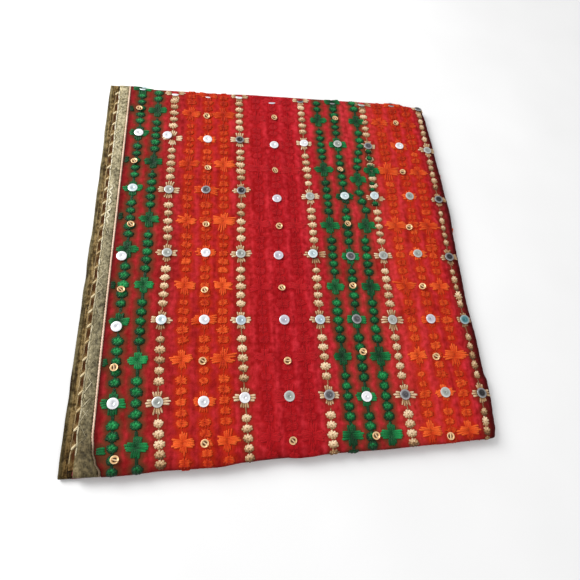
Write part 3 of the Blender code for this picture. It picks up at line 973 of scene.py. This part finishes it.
def spread(motif, places, seed, turn=5.0, size=0.06, shade=0.12):
    """Repeats a motif at places, each one turned, sized and toned a little differently."""
    draw = np.random.default_rng(seed)
    count = len(places)
    angle = np.radians(draw.normal(0, turn, count))[:, None]
    scale = (MM * (1 + draw.normal(0, size, count)))[:, None, None]
    ends = motif[:, :4].reshape(-1, 2)[None] * (1 + draw.normal(0, size, (count, len(motif) * 2, 1)))
    x = ends[..., 0] * np.cos(angle) - ends[..., 1] * np.sin(angle)
    y = ends[..., 0] * np.sin(angle) + ends[..., 1] * np.cos(angle)
    flat = (np.stack((x, y), axis=-1) * scale + places[:, None]).reshape(count, -1, 4)
    body = np.broadcast_to(motif[None, :, 4:6] * MM, (count, len(motif), 2))
    tone = motif[None, :, 6:] + draw.normal(0, shade, (count, 1, 1))
    tone = tone + draw.normal(0, shade / 2, (count, len(motif), 1))
    return np.concatenate((flat, body, tone), axis=-1).reshape(-1, 8)


# Painted shade on the floss by the front fold, as on the cloth there.
FLOSS_FRONT_SHADE = 0.75               # how much darker the floss is once it is round the front fold
STITCH_CURL = 0.92 * CLOTH_CURL  # how far the stitches follow a fold
SEAM_CLEAR = 0.4 * MM           # of stitches, beside the piping
LEAST_HEIGHT = 0.05 * MM        # of the floss over the surface that the shawl lies on


def on_cloth(stitches):
    """Leaves out the stitches that would lie too far round the front and back folds.

    Those by the front fold are darkened with painted shade, as the cloth there is.
    """
    x, y = stitches[:, (0, 2)], stitches[:, (1, 3)]
    front, back = along(FRONT_EDGE, x), along(BACK_EDGE, x)
    dull = FLOSS_FRONT_SHADE * np.clip((front - y) / FRONT_SHADE + 0.5, 0, 1)
    kept = ((y > front - FRONT_ROLL * STITCH_CURL) & (y < back + BACK_ROLL * STITCH_CURL)
            & (x > along(CLOTH_EDGE, y) + SEAM_CLEAR))
    return np.hstack((stitches[:, :6], stitches[:, 6:] - dull))[kept.all(axis=1)]


def over_cloth(x, y, height):
    """Points over the cloth, kept off the surface that the shawl lies on."""
    points = lay(x, y, height)
    points[..., 2] = np.maximum(points[..., 2], LEAST_HEIGHT)
    return points


CROSS_ROWS = np.arange(6)
FLORET_PHASES = 0.25 + FLORET_STEP * np.arange(5)
FLORETS_WITHIN = (-0.1, 5.95)   # the rows between which the florets lie on the shawl


def floret_rows(first, side):
    """The rows of the florets after that row of crosses: five between each two crosses."""
    rows = (np.arange(first, len(CROSS_ROWS))[:, None] + FLORET_PHASES + 0.5 * side).ravel()
    return rows[(rows > FLORETS_WITHIN[0]) & (rows < FLORETS_WITHIN[1])]


def crosses(column, side):
    """The places of the crosses of one column."""
    places = spot(column, CROSS_ROWS + 0.5 * side)
    if not side:
        places[0, 1] += BACK_ROW_STRAY
    return places


def linking(places, seed, width, tone):
    """The running thread between motifs that follow each other, with a little slack aside."""
    order = places[np.argsort(-places[:, 1])]
    aside = np.random.default_rng(seed).normal(0, LINK_SLACK, (len(order) - 1, 2)) * (1, 0)
    body = np.tile((width * MM, LINK_HEIGHT, tone, tone), (len(order) - 1, 1))
    return np.hstack((order[:-1] + aside, order[1:] - aside, body))


def strand_of(middles, ends, work, seed):
    """All stitches of one column: florets at its middles, crosses at its ends, and their thread."""
    floret, cross, (width, tone), (shade, size) = work
    return np.concatenate((linking(np.concatenate((middles, ends)), seed + 2, width, tone),
                           spread(floret, middles, seed, size=size, shade=shade),
                           spread(cross, ends, seed + 1, turn=3.0, size=size, shade=shade)))


def column_of(column, work, seed):
    """All stitches of one regular column; those between whole columns are half a row on."""
    side = column % 1 != 0
    return strand_of(spot(column, floret_rows(-1, side)), crosses(column, side), work, seed)


def columns_of(columns, work, seed, seed_step=10):
    """All stitches of some regular columns, each drawn with a seed of its own."""
    return [column_of(column, work, seed + int(seed_step * column)) for column in columns]


def altered(motif, across=1.0, lengthwise=1.0, width=1.0, height=1.0, rise=0.0, tone=0.0):
    """A motif with its places, widths and heights scaled, and its heights in mm and tones raised."""
    scaled = motif * (across, lengthwise, across, lengthwise, width, height, 1, 1)
    return scaled + (0, 0, 0, 0, 0, rise, tone, tone)


# Each kind of work: its floret, its cross, the width and tone of its thread, and how much its tone
# and its size vary
# The tones within each motif are painted light and shade: arms across are mostly lighter than arms along, the
# green crosses' right arms lightest, and floret stitches pointing to the back lighter.
cream_work = (
    np.concatenate((burst(9, 0.3, 11.4, 9.0, 3.0, 1.0, (0.5, 0.6), 0.5, 0.28),
                    burst(6, 0.2, 7.0, 5.2, 2.6, 1.7, (0.6, 0.85), 0.2, 0.2))),
    fans((0, 3, 4.2, 13.0, 2.2, 3.1, 2.6, 0.9, (0.3, 0.95)),
         (180, 3, 4.2, 13.0, 2.2, 3.1, 2.6, 0.9, (0.3, 0.95)),
         (90, 4, 3.6, 12.6, 1.5, 2.9, 2.2, 0.9, (0.1, 0.75)),
         (270, 4, 3.6, 12.6, 1.5, 2.9, 2.2, 0.9, (0.1, 0.65))),
    (1.4, 0.3), (0.11, 0.06))
green_work = (
    np.concatenate((burst(10, 0.2, 12.4, 10.2, 4.0, 1.2, (0.5, 0.05), 0.3, 0.1),
                    burst(5, 0.1, 8.4, 6.4, 3.6, 1.9, (0.65, 0.6), 0.15, 0.15))),
    fans((0, 4, -1.0, 12.6, 1.9, 2.4, 3.1, 1.7, (0.15, 1.0)),
         (180, 4, -1.0, 12.4, 1.9, 2.4, 3.1, 1.4, (0.1, 0.7)),
         (90, 4, -1.0, 12.0, 1.9, 2.3, 3.1, 1.3, (0.05, 0.45)),
         (270, 4, -1.0, 12.0, 1.9, 2.3, 3.1, 1.4, (0.1, 0.5))),
    (4.0, 0.04), (0.1, 0.06))
orange_work = (
    np.concatenate((burst(11, 0.3, 12.0, 9.6, 2.4, 0.9, (0.3, 0.4), 0.25),
                    fans((0, 4, -1.2, 5.4, 1.7, 1.4, 2.1, 1.2, (0.2, 0.9)),
                         (180, 4, -1.2, 5.4, 1.7, 1.4, 2.1, 1.2, (0.2, 0.8))))),
    fans((90, 4, -1.0, 12.6, 1.3, 2.5, 2.5, 1.0, (0.3, 0.75)),
         (270, 4, -1.0, 12.2, 1.3, 2.5, 2.5, 1.0, (0.2, 0.6)),
         (0, 5, -1.0, 13.6, 1.2, 2.3, 2.6, 1.3, (0.4, 1.1)),
         (180, 5, -1.0, 13.6, 1.2, 2.3, 2.6, 1.3, (0.35, 1.0))),
    (1.3, 0.3), (0.1, 0.12))
# The red work is the orange, wider and much flatter; the outer work is the cream, small and darker
# with painted shade
red_work = (altered(orange_work[0], width=1.3, height=0.22), altered(orange_work[1], width=1.3, height=0.22),
            (1.3, 0.5), (0.11, 0.12))
outer_work = (altered(cream_work[0], 0.7, 1.15, 0.85, 0.85, tone=-0.2),
              altered(cream_work[1], 0.85, 0.9, tone=-0.15), (1.2, 0.2), (0.11, 0.08))

CREAM_COLUMNS = (1, 3, 5, 7)
# Its lower tones are painted shade of the side fold.
OUTER_COLUMN = 9                # cream too, smaller and duller, as it lies by the side fold
ORANGE_COLUMNS = (1.5, 2, 2.5, 7.5, 8, 8.5, 9.65)
RED_COLUMNS = (3.5, 4, 4.5)
GREEN_COLUMNS = (0, 0.5, 5.5, 6)
ORANGE_DULL = 0.3               # how much darker the orange floss is at the back edge
BACK_EDGE_AT = 0.25             # the y of that edge, for this
# One green column was worked askew near the back: the column and row of each motif there
ASKEW_COLUMN = 6.5
ASKEW_FLORETS = (
    (6.7, 0.09), (6.74, 0.22), (6.76, 0.74), (6.76, 0.89), (6.76, 1.01), (6.67, 1.14),
    (6.6, 1.3), (6.56, 1.44), (6.52, 1.92), (6.57, 2.08), (6.65, 2.24),
)
ASKEW_CROSSES = ((6.75, 0.49), (6.54, 1.67), (6.59, 2.51))
# A short green strand was worked over the cream beside it
OVER_FLORETS = ((7.0, 1.11), (7.0, 1.25), (6.97, 1.74), (6.94, 1.85), (6.96, 2.11))
OVER_CROSSES = ((7.0, 1.49),)
OVER_SIZE = 0.72                # of its florets, beside the others
OVER_HEIGHT = 1.0               # mm more, to lie on the cream


def askew_column():
    """The places of the florets and crosses of the column that was worked askew."""
    regular = spot(ASKEW_COLUMN, floret_rows(2, True)), spot(ASKEW_COLUMN, CROSS_ROWS[3:] + 0.5)
    strayed = lattice(*np.array(ASKEW_FLORETS).T), lattice(*np.array(ASKEW_CROSSES).T)
    return [np.concatenate(places) for places in zip(strayed, regular)]


EDGE_ARM_ROWS = (0.5, 1.47, 2.45, 3.5, 4.52)
LAST_ARM_ROW = 5.56


def edge_arms(rows):
    """Where the right arms of a column of crosses, whose middles are cut off, leave the seam."""
    y = FIRST_ROW - np.array(rows) * ROW
    return np.stack((along(CLOTH_EDGE, y), y), axis=-1)


over = lattice(*np.array(OVER_FLORETS).T), lattice(*np.array(OVER_CROSSES).T)
over_work = (altered(green_work[0], OVER_SIZE, OVER_SIZE, OVER_SIZE, rise=OVER_HEIGHT),
             altered(green_work[1], rise=OVER_HEIGHT), (3.0, 0.1), (0.05, 0.06))
edge_arm = fan(0, 4, 1.0, 6.8, 2.1, 2.3, 3.0, 1.2, (-0.05, 0.3))
last_arm = fan(0, 5, 1.0, 10.4, 2.0, 2.3, 3.0, 1.4, (0.2, 0.6))
green_stitches = np.concatenate((
    *columns_of(GREEN_COLUMNS, green_work, 100),
    strand_of(*askew_column(), green_work, 165),
    strand_of(*over, over_work, 168),
    spread(edge_arm, edge_arms(EDGE_ARM_ROWS), 90, shade=0.05),
    spread(last_arm, edge_arms((LAST_ARM_ROW,)), 91)))
cream_stitches = np.concatenate((*columns_of(CREAM_COLUMNS, cream_work, 200, seed_step=1),
                                 column_of(OUTER_COLUMN, outer_work, 209)))
orange_stitches = np.concatenate(columns_of(ORANGE_COLUMNS, orange_work, 300))
orange_stitches[:, 6:] -= ORANGE_DULL * np.clip(orange_stitches[:, 1:2] / BACK_EDGE_AT, 0, 1)
red_stitches = np.concatenate(columns_of(RED_COLUMNS, red_work, 400))


def embroidery(colour, stitches, *look):
    """The piece of all the floss of one colour on the cloth."""
    return floss(colour + "_floss", on_cloth(stitches), over_cloth, floss_material(colour + "_silk", *look))


green = embroidery("green", green_stitches, (8, 44, 20), (4, 88, 42), (34, 154, 82), 0.42, 0.18)
cream = embroidery("cream", cream_stitches, (96, 60, 32), (190, 148, 102), (250, 222, 184))
orange = embroidery("orange", orange_stitches, (170, 30, 4), (208, 60, 12), (246, 104, 42), 0.5, 0.12)
red = embroidery("red", red_stitches, (158, 18, 24), (168, 22, 28), (182, 32, 38), 0.7, 0.03)


SQUARE = 3 * MM                 # of the middles of stitches within one such square, one is enough
SQUARES_APART = 1000            # between the numbers of two columns of squares
MIDDLES_AT_ONCE = 50


def closeness(stitches, near, far):
    """How close each point of the cloth is to a stitch's middle: 1 nearer than near mm, 0 from far."""
    middles = (stitches[:, 0:2] + stitches[:, 2:4]) / 2
    column, row = np.floor(middles / SQUARE).astype(int).T
    middles = middles[np.unique(column * SQUARES_APART + row, return_index=True)[1]]
    x, y = cloth_x.ravel()[:, None], cloth_y.ravel()[:, None]
    nearest = np.full(cloth_x.size, np.inf)
    for group in np.array_split(middles, 1 + len(middles) // MIDDLES_AT_ONCE):
        nearest = np.minimum(nearest, np.hypot(x - group[:, 0], y - group[:, 1]).min(axis=1))
    return eased(np.clip((far * MM - nearest) / (far * MM - near * MM), 0, 1))


def shade_cloth(**shades):
    """Gives the cloth its values of that name, the same on both faces of its wall."""
    for name, value in shades.items():
        cloth.data.attributes.new(name, "FLOAT", "POINT").data.foreach_set("value", np.tile(value, 2))


# Near the green and cream floss this tints the cloth with painted shade; far from all floss the open ground
# takes its painted sheen.
by_green, by_orange = closeness(green_stitches, 3, 10), closeness(orange_stitches, 2.5, 8.5)
by_cream, by_red = closeness(cream_stitches, 2.5, 7), closeness(red_stitches, 2.5, 8)
shade_cloth(by_green=by_green, by_orange=by_orange, by_cream=by_cream, by_red=by_red,
            open_ground=(1 - by_green) * (1 - by_orange) * (1 - by_cream) * (1 - by_red))

# The mirrors are thin discs of silvered glass, 12 mm across with a ground rim, gummed and sewn
# over the crosses' middles. They lie at small slants, and their tints, white to dark, are painted
# reflections.
MIRROR_RADIUS = 6.0 * MM
MIRROR_THICK = 0.9 * MM
MIRROR_LIFT = 1.35 * MM
GREEN_LIFT = 0.5 * MM           # more, on the thicker crosses of the green columns
DISC_SIDES = 24
THICK_COLUMNS = (0, 6)          # the green ones with mirrors and sequins
# The mirrors' painted reflections, white to dark, and the one each mirror shows, by column and row
REFLECTION_TONES = {
    "w": (0.95, 0.94, 0.97), "c": (0.72, 0.86, 0.88), "l": (0.66, 0.62, 0.7), "b": (0.5, 0.62, 0.68),
    "g": (0.4, 0.42, 0.38), "d": (0.1, 0.09, 0.1), "k": (0.025, 0.02, 0.022), "t": (0.05, 0.2, 0.22),
}
MIRROR_REFLECTIONS = (
    "cwcwww", "wwggcg", "wwdwww", "wkkgbw", "lwlllg", "kwgcbd", "dgcddw", "gdcggd", "dwgglg", "kgkktk",
)
# How far some mirrors lie from their crosses' middles, in mm, by column and row
MIRROR_SHIFTS = {(0, 3): (-5, -10), (0, 4): (-2, -6), (1, 1): (-7, 3), (7, 2): (-1, 4), (5, 3): (-3, 1)}
MIRROR_SLANT = 0.05             # rise over run, as a spread
BACK_ROW_TILT = -0.32           # the back row leans over the fold, and lies lower
BACK_ROW_LIFT = -0.7 * MM


def plan_radius(tree):
    """How far a place is from the middle of its disc, in mm."""
    plan = put(tree, "TexCoord").outputs["UV"]
    return put(tree, "VectorMath", {0: plan}, operation="LENGTH").outputs["Value"]


def disc(profile):
    """Rings of a turned disc, as x, y, z: the profile's radii and heights, swept round a circle."""
    around = np.linspace(0, 2 * np.pi, DISC_SIDES, endpoint=False)
    radius, height = np.array(profile).T[:, :, None]
    height = height * np.ones_like(around)
    return np.stack((radius * np.cos(around), radius * np.sin(around), height), axis=-1)


def discs(name, profile, centres, slants, spin, material, slot, **values):
    """Many turned discs, each at its centre and turned to its slant; they close on themselves."""
    rings = disc(profile).reshape(-1, 3)
    grid = np.arange(len(rings)).reshape(-1, DISC_SIDES)
    wrapped = np.concatenate((grid, grid[:, :1]), axis=1)
    body = quads(np.concatenate((wrapped, wrapped[:1])))
    normal = unit(np.concatenate((slants, np.ones((len(slants), 1))), axis=1))
    east = np.stack((np.cos(spin), np.sin(spin), np.zeros_like(spin)), axis=1)
    east = unit(east - normal * np.sum(east * normal, axis=1, keepdims=True))
    axes = np.stack((east, np.cross(normal, east), normal), axis=1)
    points = centres[:, None] + rings @ axes
    uv = np.tile(rings[:, :2] / MM, (len(centres), 1))
    values = {key: np.repeat(value, len(rings)) for key, value in values.items()}
    faces = [repeated(body, len(centres), len(rings))]
    piece = sewn(name, points.reshape(-1, 3), faces, material, uv=uv, **values)
    return piece


def mirror_material():
    """Silvered glass: bright at its ground rim, greyer and softly stained in the middle; its tint is a
    painted reflection.
    """
    material, tree = new_material("silvered_glass")
    parts = {key: value_of(tree, key.lower()) for key in ("Red", "Green", "Blue")}
    tint = put(tree, "CombineColor", parts).outputs[0]
    rim = remap(tree, plan_radius(tree), 3.2, 5.4)
    stain = noise(tree, place_on(tree), 160)
    stained = ramp(tree, stain, (0.35, (0.62, 0.64, 0.66, 1)), (0.65, (0.95, 0.95, 0.95, 1)))
    middle = blend(tree, 1.0, tint, stained, "MULTIPLY")
    colour = blend(tree, rim, middle, blend(tree, 0.35, tint, (0.85, 0.85, 0.86, 1)))
    return finish_of(material, colour, stain, 0.0002, 0.3, Metallic=0.3)


def mirror_places(columns, rows):
    """The flat place, painted reflection and slant of each mirror, by column and row."""
    cells = list(zip(columns.tolist(), rows.tolist()))
    flat = spot(columns, rows)
    flat[:, 1] += BACK_ROW_STRAY * (rows == 0)
    flat += np.array([MIRROR_SHIFTS.get(cell, (0, 0)) for cell in cells]) * MM
    tones = np.array([REFLECTION_TONES[MIRROR_REFLECTIONS[column][row]] for column, row in cells])
    slants = np.random.default_rng(71).normal(0, MIRROR_SLANT, (len(cells), 2))
    slants[:, 1] -= BACK_ROW_TILT * (rows == 0)
    return flat, tones, slants


mirror_columns, mirror_rows = np.indices((len(MIRROR_REFLECTIONS), len(CROSS_ROWS))).reshape(2, -1)
mirror_flat, shown_reflections, mirror_slants = mirror_places(mirror_columns, mirror_rows)
mirror_lifts = MIRROR_LIFT + GREEN_LIFT * np.isin(mirror_columns, THICK_COLUMNS)
mirror_centres = lay(*mirror_flat.T, mirror_lifts)
mirror_centres[mirror_rows == 0, 2] = 2 * HALF + BACK_ROW_LIFT
mirror_profile = np.array((
    (0.02, 1.0), (0.5, 0.99), (0.84, 0.96), (0.95, 0.86), (1.0, 0.62), (1.0, 0.2), (0.94, 0.0), (0.02, 0.0),
)) * (MIRROR_RADIUS, MIRROR_THICK)
mirrors = discs("mirrors", mirror_profile, mirror_centres, mirror_slants,
                np.random.default_rng(72).uniform(0, 6, len(mirror_flat)), mirror_material(), "mirror",
                red=shown_reflections[:, 0], green=shown_reflections[:, 1], blue=shown_reflections[:, 2])

# The sequins are gold cups pressed from film, 8.6 mm across with a hole in their middle, each
# held by pale thread over its rims and down its hole, on the middle floret between two mirrors.
SEQUIN_RADIUS = 4.3 * MM
SEQUIN_DEEP = 2.6 * MM
SEQUIN_LIFT = 1.1 * MM
GREEN_SEQUIN_LIFT = 2.0 * MM    # on the thicker florets of the green columns
SEQUIN_SLANT = 0.16             # rise over run, as a spread
SEQUIN_THREAD = (1.7 * MM, 0.6 * MM)  # width and height of the thread over each one
THREAD_HEADING = -0.9           # radians from +X, and its spread
THREAD_SPREAD = 0.5


def sequin_material():
    """Lacquered gold film, darkening to near black towards the hole with painted shade inside the cup."""
    material, tree = new_material("gold_film")
    scuffs = noise(tree, place_on(tree), 400)
    out = remap(tree, maths(tree, "ADD", scuffs, plan_radius(tree)), 1.6, 4.2)
    # Painted shade: dark brown to near black in the cup round the hole.
    colour = ramp(tree, out, (0.0, dye(34, 16, 0)), (0.38, dye(84, 52, 14)), (0.66, dye(222, 172, 116)),
                  (1.0, dye(244, 200, 148)))
    return finish_of(material, colour, scuffs, 0.0002, 0.36, Metallic=0.4)


sequin_columns = np.repeat(list(SEQUIN_STRAYS), len(CROSS_ROWS))
sequin_rows = np.tile(CROSS_ROWS + 0.5, len(SEQUIN_STRAYS))
sequin_flat = lattice(sequin_columns, sequin_rows) + np.concatenate(list(SEQUIN_STRAYS.values())) * MM
sequin_profile = np.array((
    (0.27, 0.12), (0.36, 0.06), (0.62, 0.16), (0.86, 0.42), (1.0, 0.5), (0.98, 0.62), (0.82, 0.52),
    (0.6, 0.28), (0.4, 0.2), (0.29, 0.22),
)) * (SEQUIN_RADIUS, SEQUIN_DEEP)
sequin_lifts = np.where(np.isin(sequin_columns, THICK_COLUMNS), GREEN_SEQUIN_LIFT, SEQUIN_LIFT)
sequin_slants = np.random.default_rng(81).normal(0, SEQUIN_SLANT, (len(sequin_flat), 2))
sequins = discs("sequins", sequin_profile, lay(*sequin_flat.T, sequin_lifts), sequin_slants,
                np.random.default_rng(82).uniform(0, 6, len(sequin_flat)), sequin_material(), "sequin")


def over_sequins(x, y, height):
    """Points over the sequins: a straight slope from each one's hole up to its rim, on its slant."""
    own = (slice(None),) + (None,) * (np.ndim(x) - 1)
    aside = np.stack((x, y), axis=-1) - sequin_flat[own]
    out = np.minimum(np.linalg.norm(aside, axis=-1) / SEQUIN_RADIUS, 1)
    rise = SEQUIN_DEEP * (0.25 + 0.4 * out) - np.sum(aside * sequin_slants[own], axis=-1)
    return lay(x, y, sequin_lifts[own] + rise + height)


def sequin_stitches():
    """One stitch right over each sequin, mostly from its back left to its front right."""
    heading = np.random.default_rng(83).normal(THREAD_HEADING, THREAD_SPREAD, len(sequin_flat))
    reach = SEQUIN_RADIUS * np.stack((np.cos(heading), np.sin(heading)), axis=1)
    body = np.tile((*SEQUIN_THREAD, 0.7, 1.0), (len(sequin_flat), 1))
    return np.hstack((sequin_flat - reach, sequin_flat + reach, body))


sequin_thread = floss("sequin_thread", sequin_stitches(), over_sequins, floss_material(
    "pale_thread", (140, 96, 56), (214, 170, 120), (250, 214, 168), 0.4))

# The tape stitching is cream thread in a wide zigzag over the outer half of the upper tape, and
# gold thread in a looser zigzag that holds the braid.
ZIGZAG_STEP = 9.2 * MM
LOOP_STEP = 5.3 * MM            # half of one of the wide loops on the outer edge
HEM_STRAY = 0.3 * MM            # of the ends of its stitches aside, as a spread
HEM_TONE_SPREAD = 0.14
BRAID_STRAY = (0.25 * MM, 0.6 * MM)  # of the braid's stitches, aside and along, as spreads


def on_upper_tape(x, y, height):
    """Points over the upper tape's crinkled face."""
    top = 2 * HALF - LAYER / 2 + TAPE_WALL / 2
    return np.stack(np.broadcast_arrays(x, y, top + tape_rise(x, y) + height), axis=-1)


def on_braid(x, y, height):
    """Points over the braid."""
    return np.stack(np.broadcast_arrays(x, y, BRAID_BOTTOM + BRAID_WALL - BRAID_RIDGE / 2 + height), axis=-1)


def edge_zigzag(inner, outer, step, width, height, seed, tones, stretches):
    """Stitches to and fro along the upper hem, between two lines in mm from it, in stretches of y.

    Their tone falls from the first of its two values at the back to the second at the front.
    """
    front, back = left_ends()
    draw = np.random.default_rng(seed)
    y = np.arange(back - step, front + step, -step)
    y = y + draw.normal(0, step * 0.12, len(y))
    aside = np.where(np.arange(len(y)) % 2, inner, outer) * MM + draw.normal(0, HEM_STRAY, len(y))
    x = along(UPPER_HEM, y) + aside
    tone = np.interp(y[1:], (-0.1, 0.1), tones[::-1]) + draw.normal(0, HEM_TONE_SPREAD, len(y) - 1)
    body = np.tile((width * MM, height * MM), (len(y) - 1, 1))
    stitches = np.column_stack((x[:-1], y[:-1], x[1:], y[1:], body, tone, tone))
    return stitches[np.any([(y[1:] > low) & (y[:-1] < high) for low, high in stretches], axis=0)]


gold_floss = floss_material("gold_thread", (112, 82, 46), (192, 166, 116), (246, 230, 190), 0.4)
pale_floss = floss_material("cream_thread", (128, 116, 82), (216, 204, 168), (252, 244, 216))
# Where the stitches show, in stretches of y
ALL_ALONG = ((-1, 1),)
LOOPED = ((0.028, 0.092),)
RUBBED = ((-0.21, -0.16), (-0.07, -0.03), (0.14, 0.19))
hem_stitches = np.concatenate((
    edge_zigzag(2.4, 6.2, LOOP_STEP, 2.1, 0.9, 51, (0.9, 0.4), LOOPED),
    edge_zigzag(1.4, 8.2, 1.7 * LOOP_STEP, 1.2, 0.5, 55, (0.6, 0.3), RUBBED),
    edge_zigzag(0.4, 1.0, ZIGZAG_STEP, 1.7, 0.7, 54, (0.75, 0.3), ALL_ALONG),
    edge_zigzag(0.4, 8.0, 1.4 * ZIGZAG_STEP, 0.8, 0.3, 58, (0.45, 0.2), ALL_ALONG)))
tape_stitches = floss("tape_stitching", hem_stitches, on_upper_tape, pale_floss)


def braid_slants(start, end, width, height, seed, tones):
    """Stitches on the braid, one for each zigzag: from one place (x inwards, y) to another, in mm."""
    front, back = left_ends()
    draw = np.random.default_rng(seed)
    y = np.arange(back - BRAID_STEP, front + 2 * BRAID_STEP, -2 * BRAID_STEP)
    y = y + draw.normal(0, BRAID_STRAY[1], len(y))
    outer = along(UPPER_HEM, y) - BRAID_CLEAR - BRAID_WIDTH + draw.normal(0, BRAID_STRAY[0], len(y))
    tone = draw.uniform(*tones, len(y))[:, None]
    ends = np.stack((outer, y, outer, y), axis=1) + np.array((*start, *end)) * MM
    return np.hstack((ends, np.tile((width * MM, height * MM), (len(y), 1)), tone, tone))


# Of each zigzag: the thread that crosses the braid, its end by the hem, and the outer threads
braid_stitches = floss("braid_thread", np.concatenate((
    braid_slants((0.4, -3.4), (5.4, 2.0), 3.0, 1.2, 61, (0.35, 0.8)),
    braid_slants((4.8, 1.2), (6.0, 5.6), 1.5, 1.0, 62, (0.4, 0.9)),
    braid_slants((0.7, -3.2), (0.6, -16.6), 1.4, 0.8, 63, (0.1, 0.5)),
    braid_slants((0.5, -2.8), (-0.6, 4.6), 0.9, 0.7, 64, (0.1, 0.5)))), on_braid, gold_floss)

# The shawl lies on a plain pale floor, in soft studio light from above, behind and the left.
FLOOR_SIZE = 12.0
FLOOR_DEPTH = 0.02
WORLD_LIGHT = 0.5
# Each lamp's name, place, size in metres and power in watts
LAMPS = (
    ("key_light", (-1.3, 0.8, 1.1), 1.1, 40),
    ("fill_light", (0.9, -0.8, 1.9), 1.6, 9),
)


def floor():
    """A plain slab under the shawl, its top at the height of the table."""
    corners = np.array(((-1, -1), (1, -1), (1, 1), (-1, 1))) * FLOOR_SIZE / 2
    rings = np.stack([np.column_stack((corners, np.full(4, z))) for z in (-FLOOR_DEPTH, 0.0)])
    material, tree = new_material("floor_paint")
    mottle = noise(tree, place_on(tree), 6)
    colour = ramp(tree, mottle, (0.3, (0.86, 0.86, 0.86, 1)), (0.7, (0.9, 0.9, 0.9, 1)))
    finish_of(material, colour, mottle, 0.0001, 0.8)
    mesh = bpy.data.meshes.new("floor")
    points, faces = tube_of_rings(rings)
    mesh.from_pydata(points.tolist(), [], [face.tolist() for part in faces for face in part])
    mesh.materials.append(material)
    slab = bpy.data.objects.new("floor", mesh)
    bpy.context.scene.collection.objects.link(slab)
    return slab


floor()

for name, place, size, power in LAMPS:
    lamp = bpy.data.lights.new(name, "AREA")
    lamp.size = size
    lamp.energy = power
    light = bpy.data.objects.new(name, lamp)
    light.location = place
    light.rotation_euler = (-Vector(place)).to_track_quat("-Z", "Y").to_euler()
    bpy.context.scene.collection.objects.link(light)

world = bpy.data.worlds.new("studio")
world.use_nodes = True
world.node_tree.nodes["Background"].inputs["Color"].default_value = (1, 1, 1, 1)
world.node_tree.nodes["Background"].inputs["Strength"].default_value = WORLD_LIGHT
bpy.context.scene.world = world
bpy.context.scene.view_settings.view_transform = "Standard"
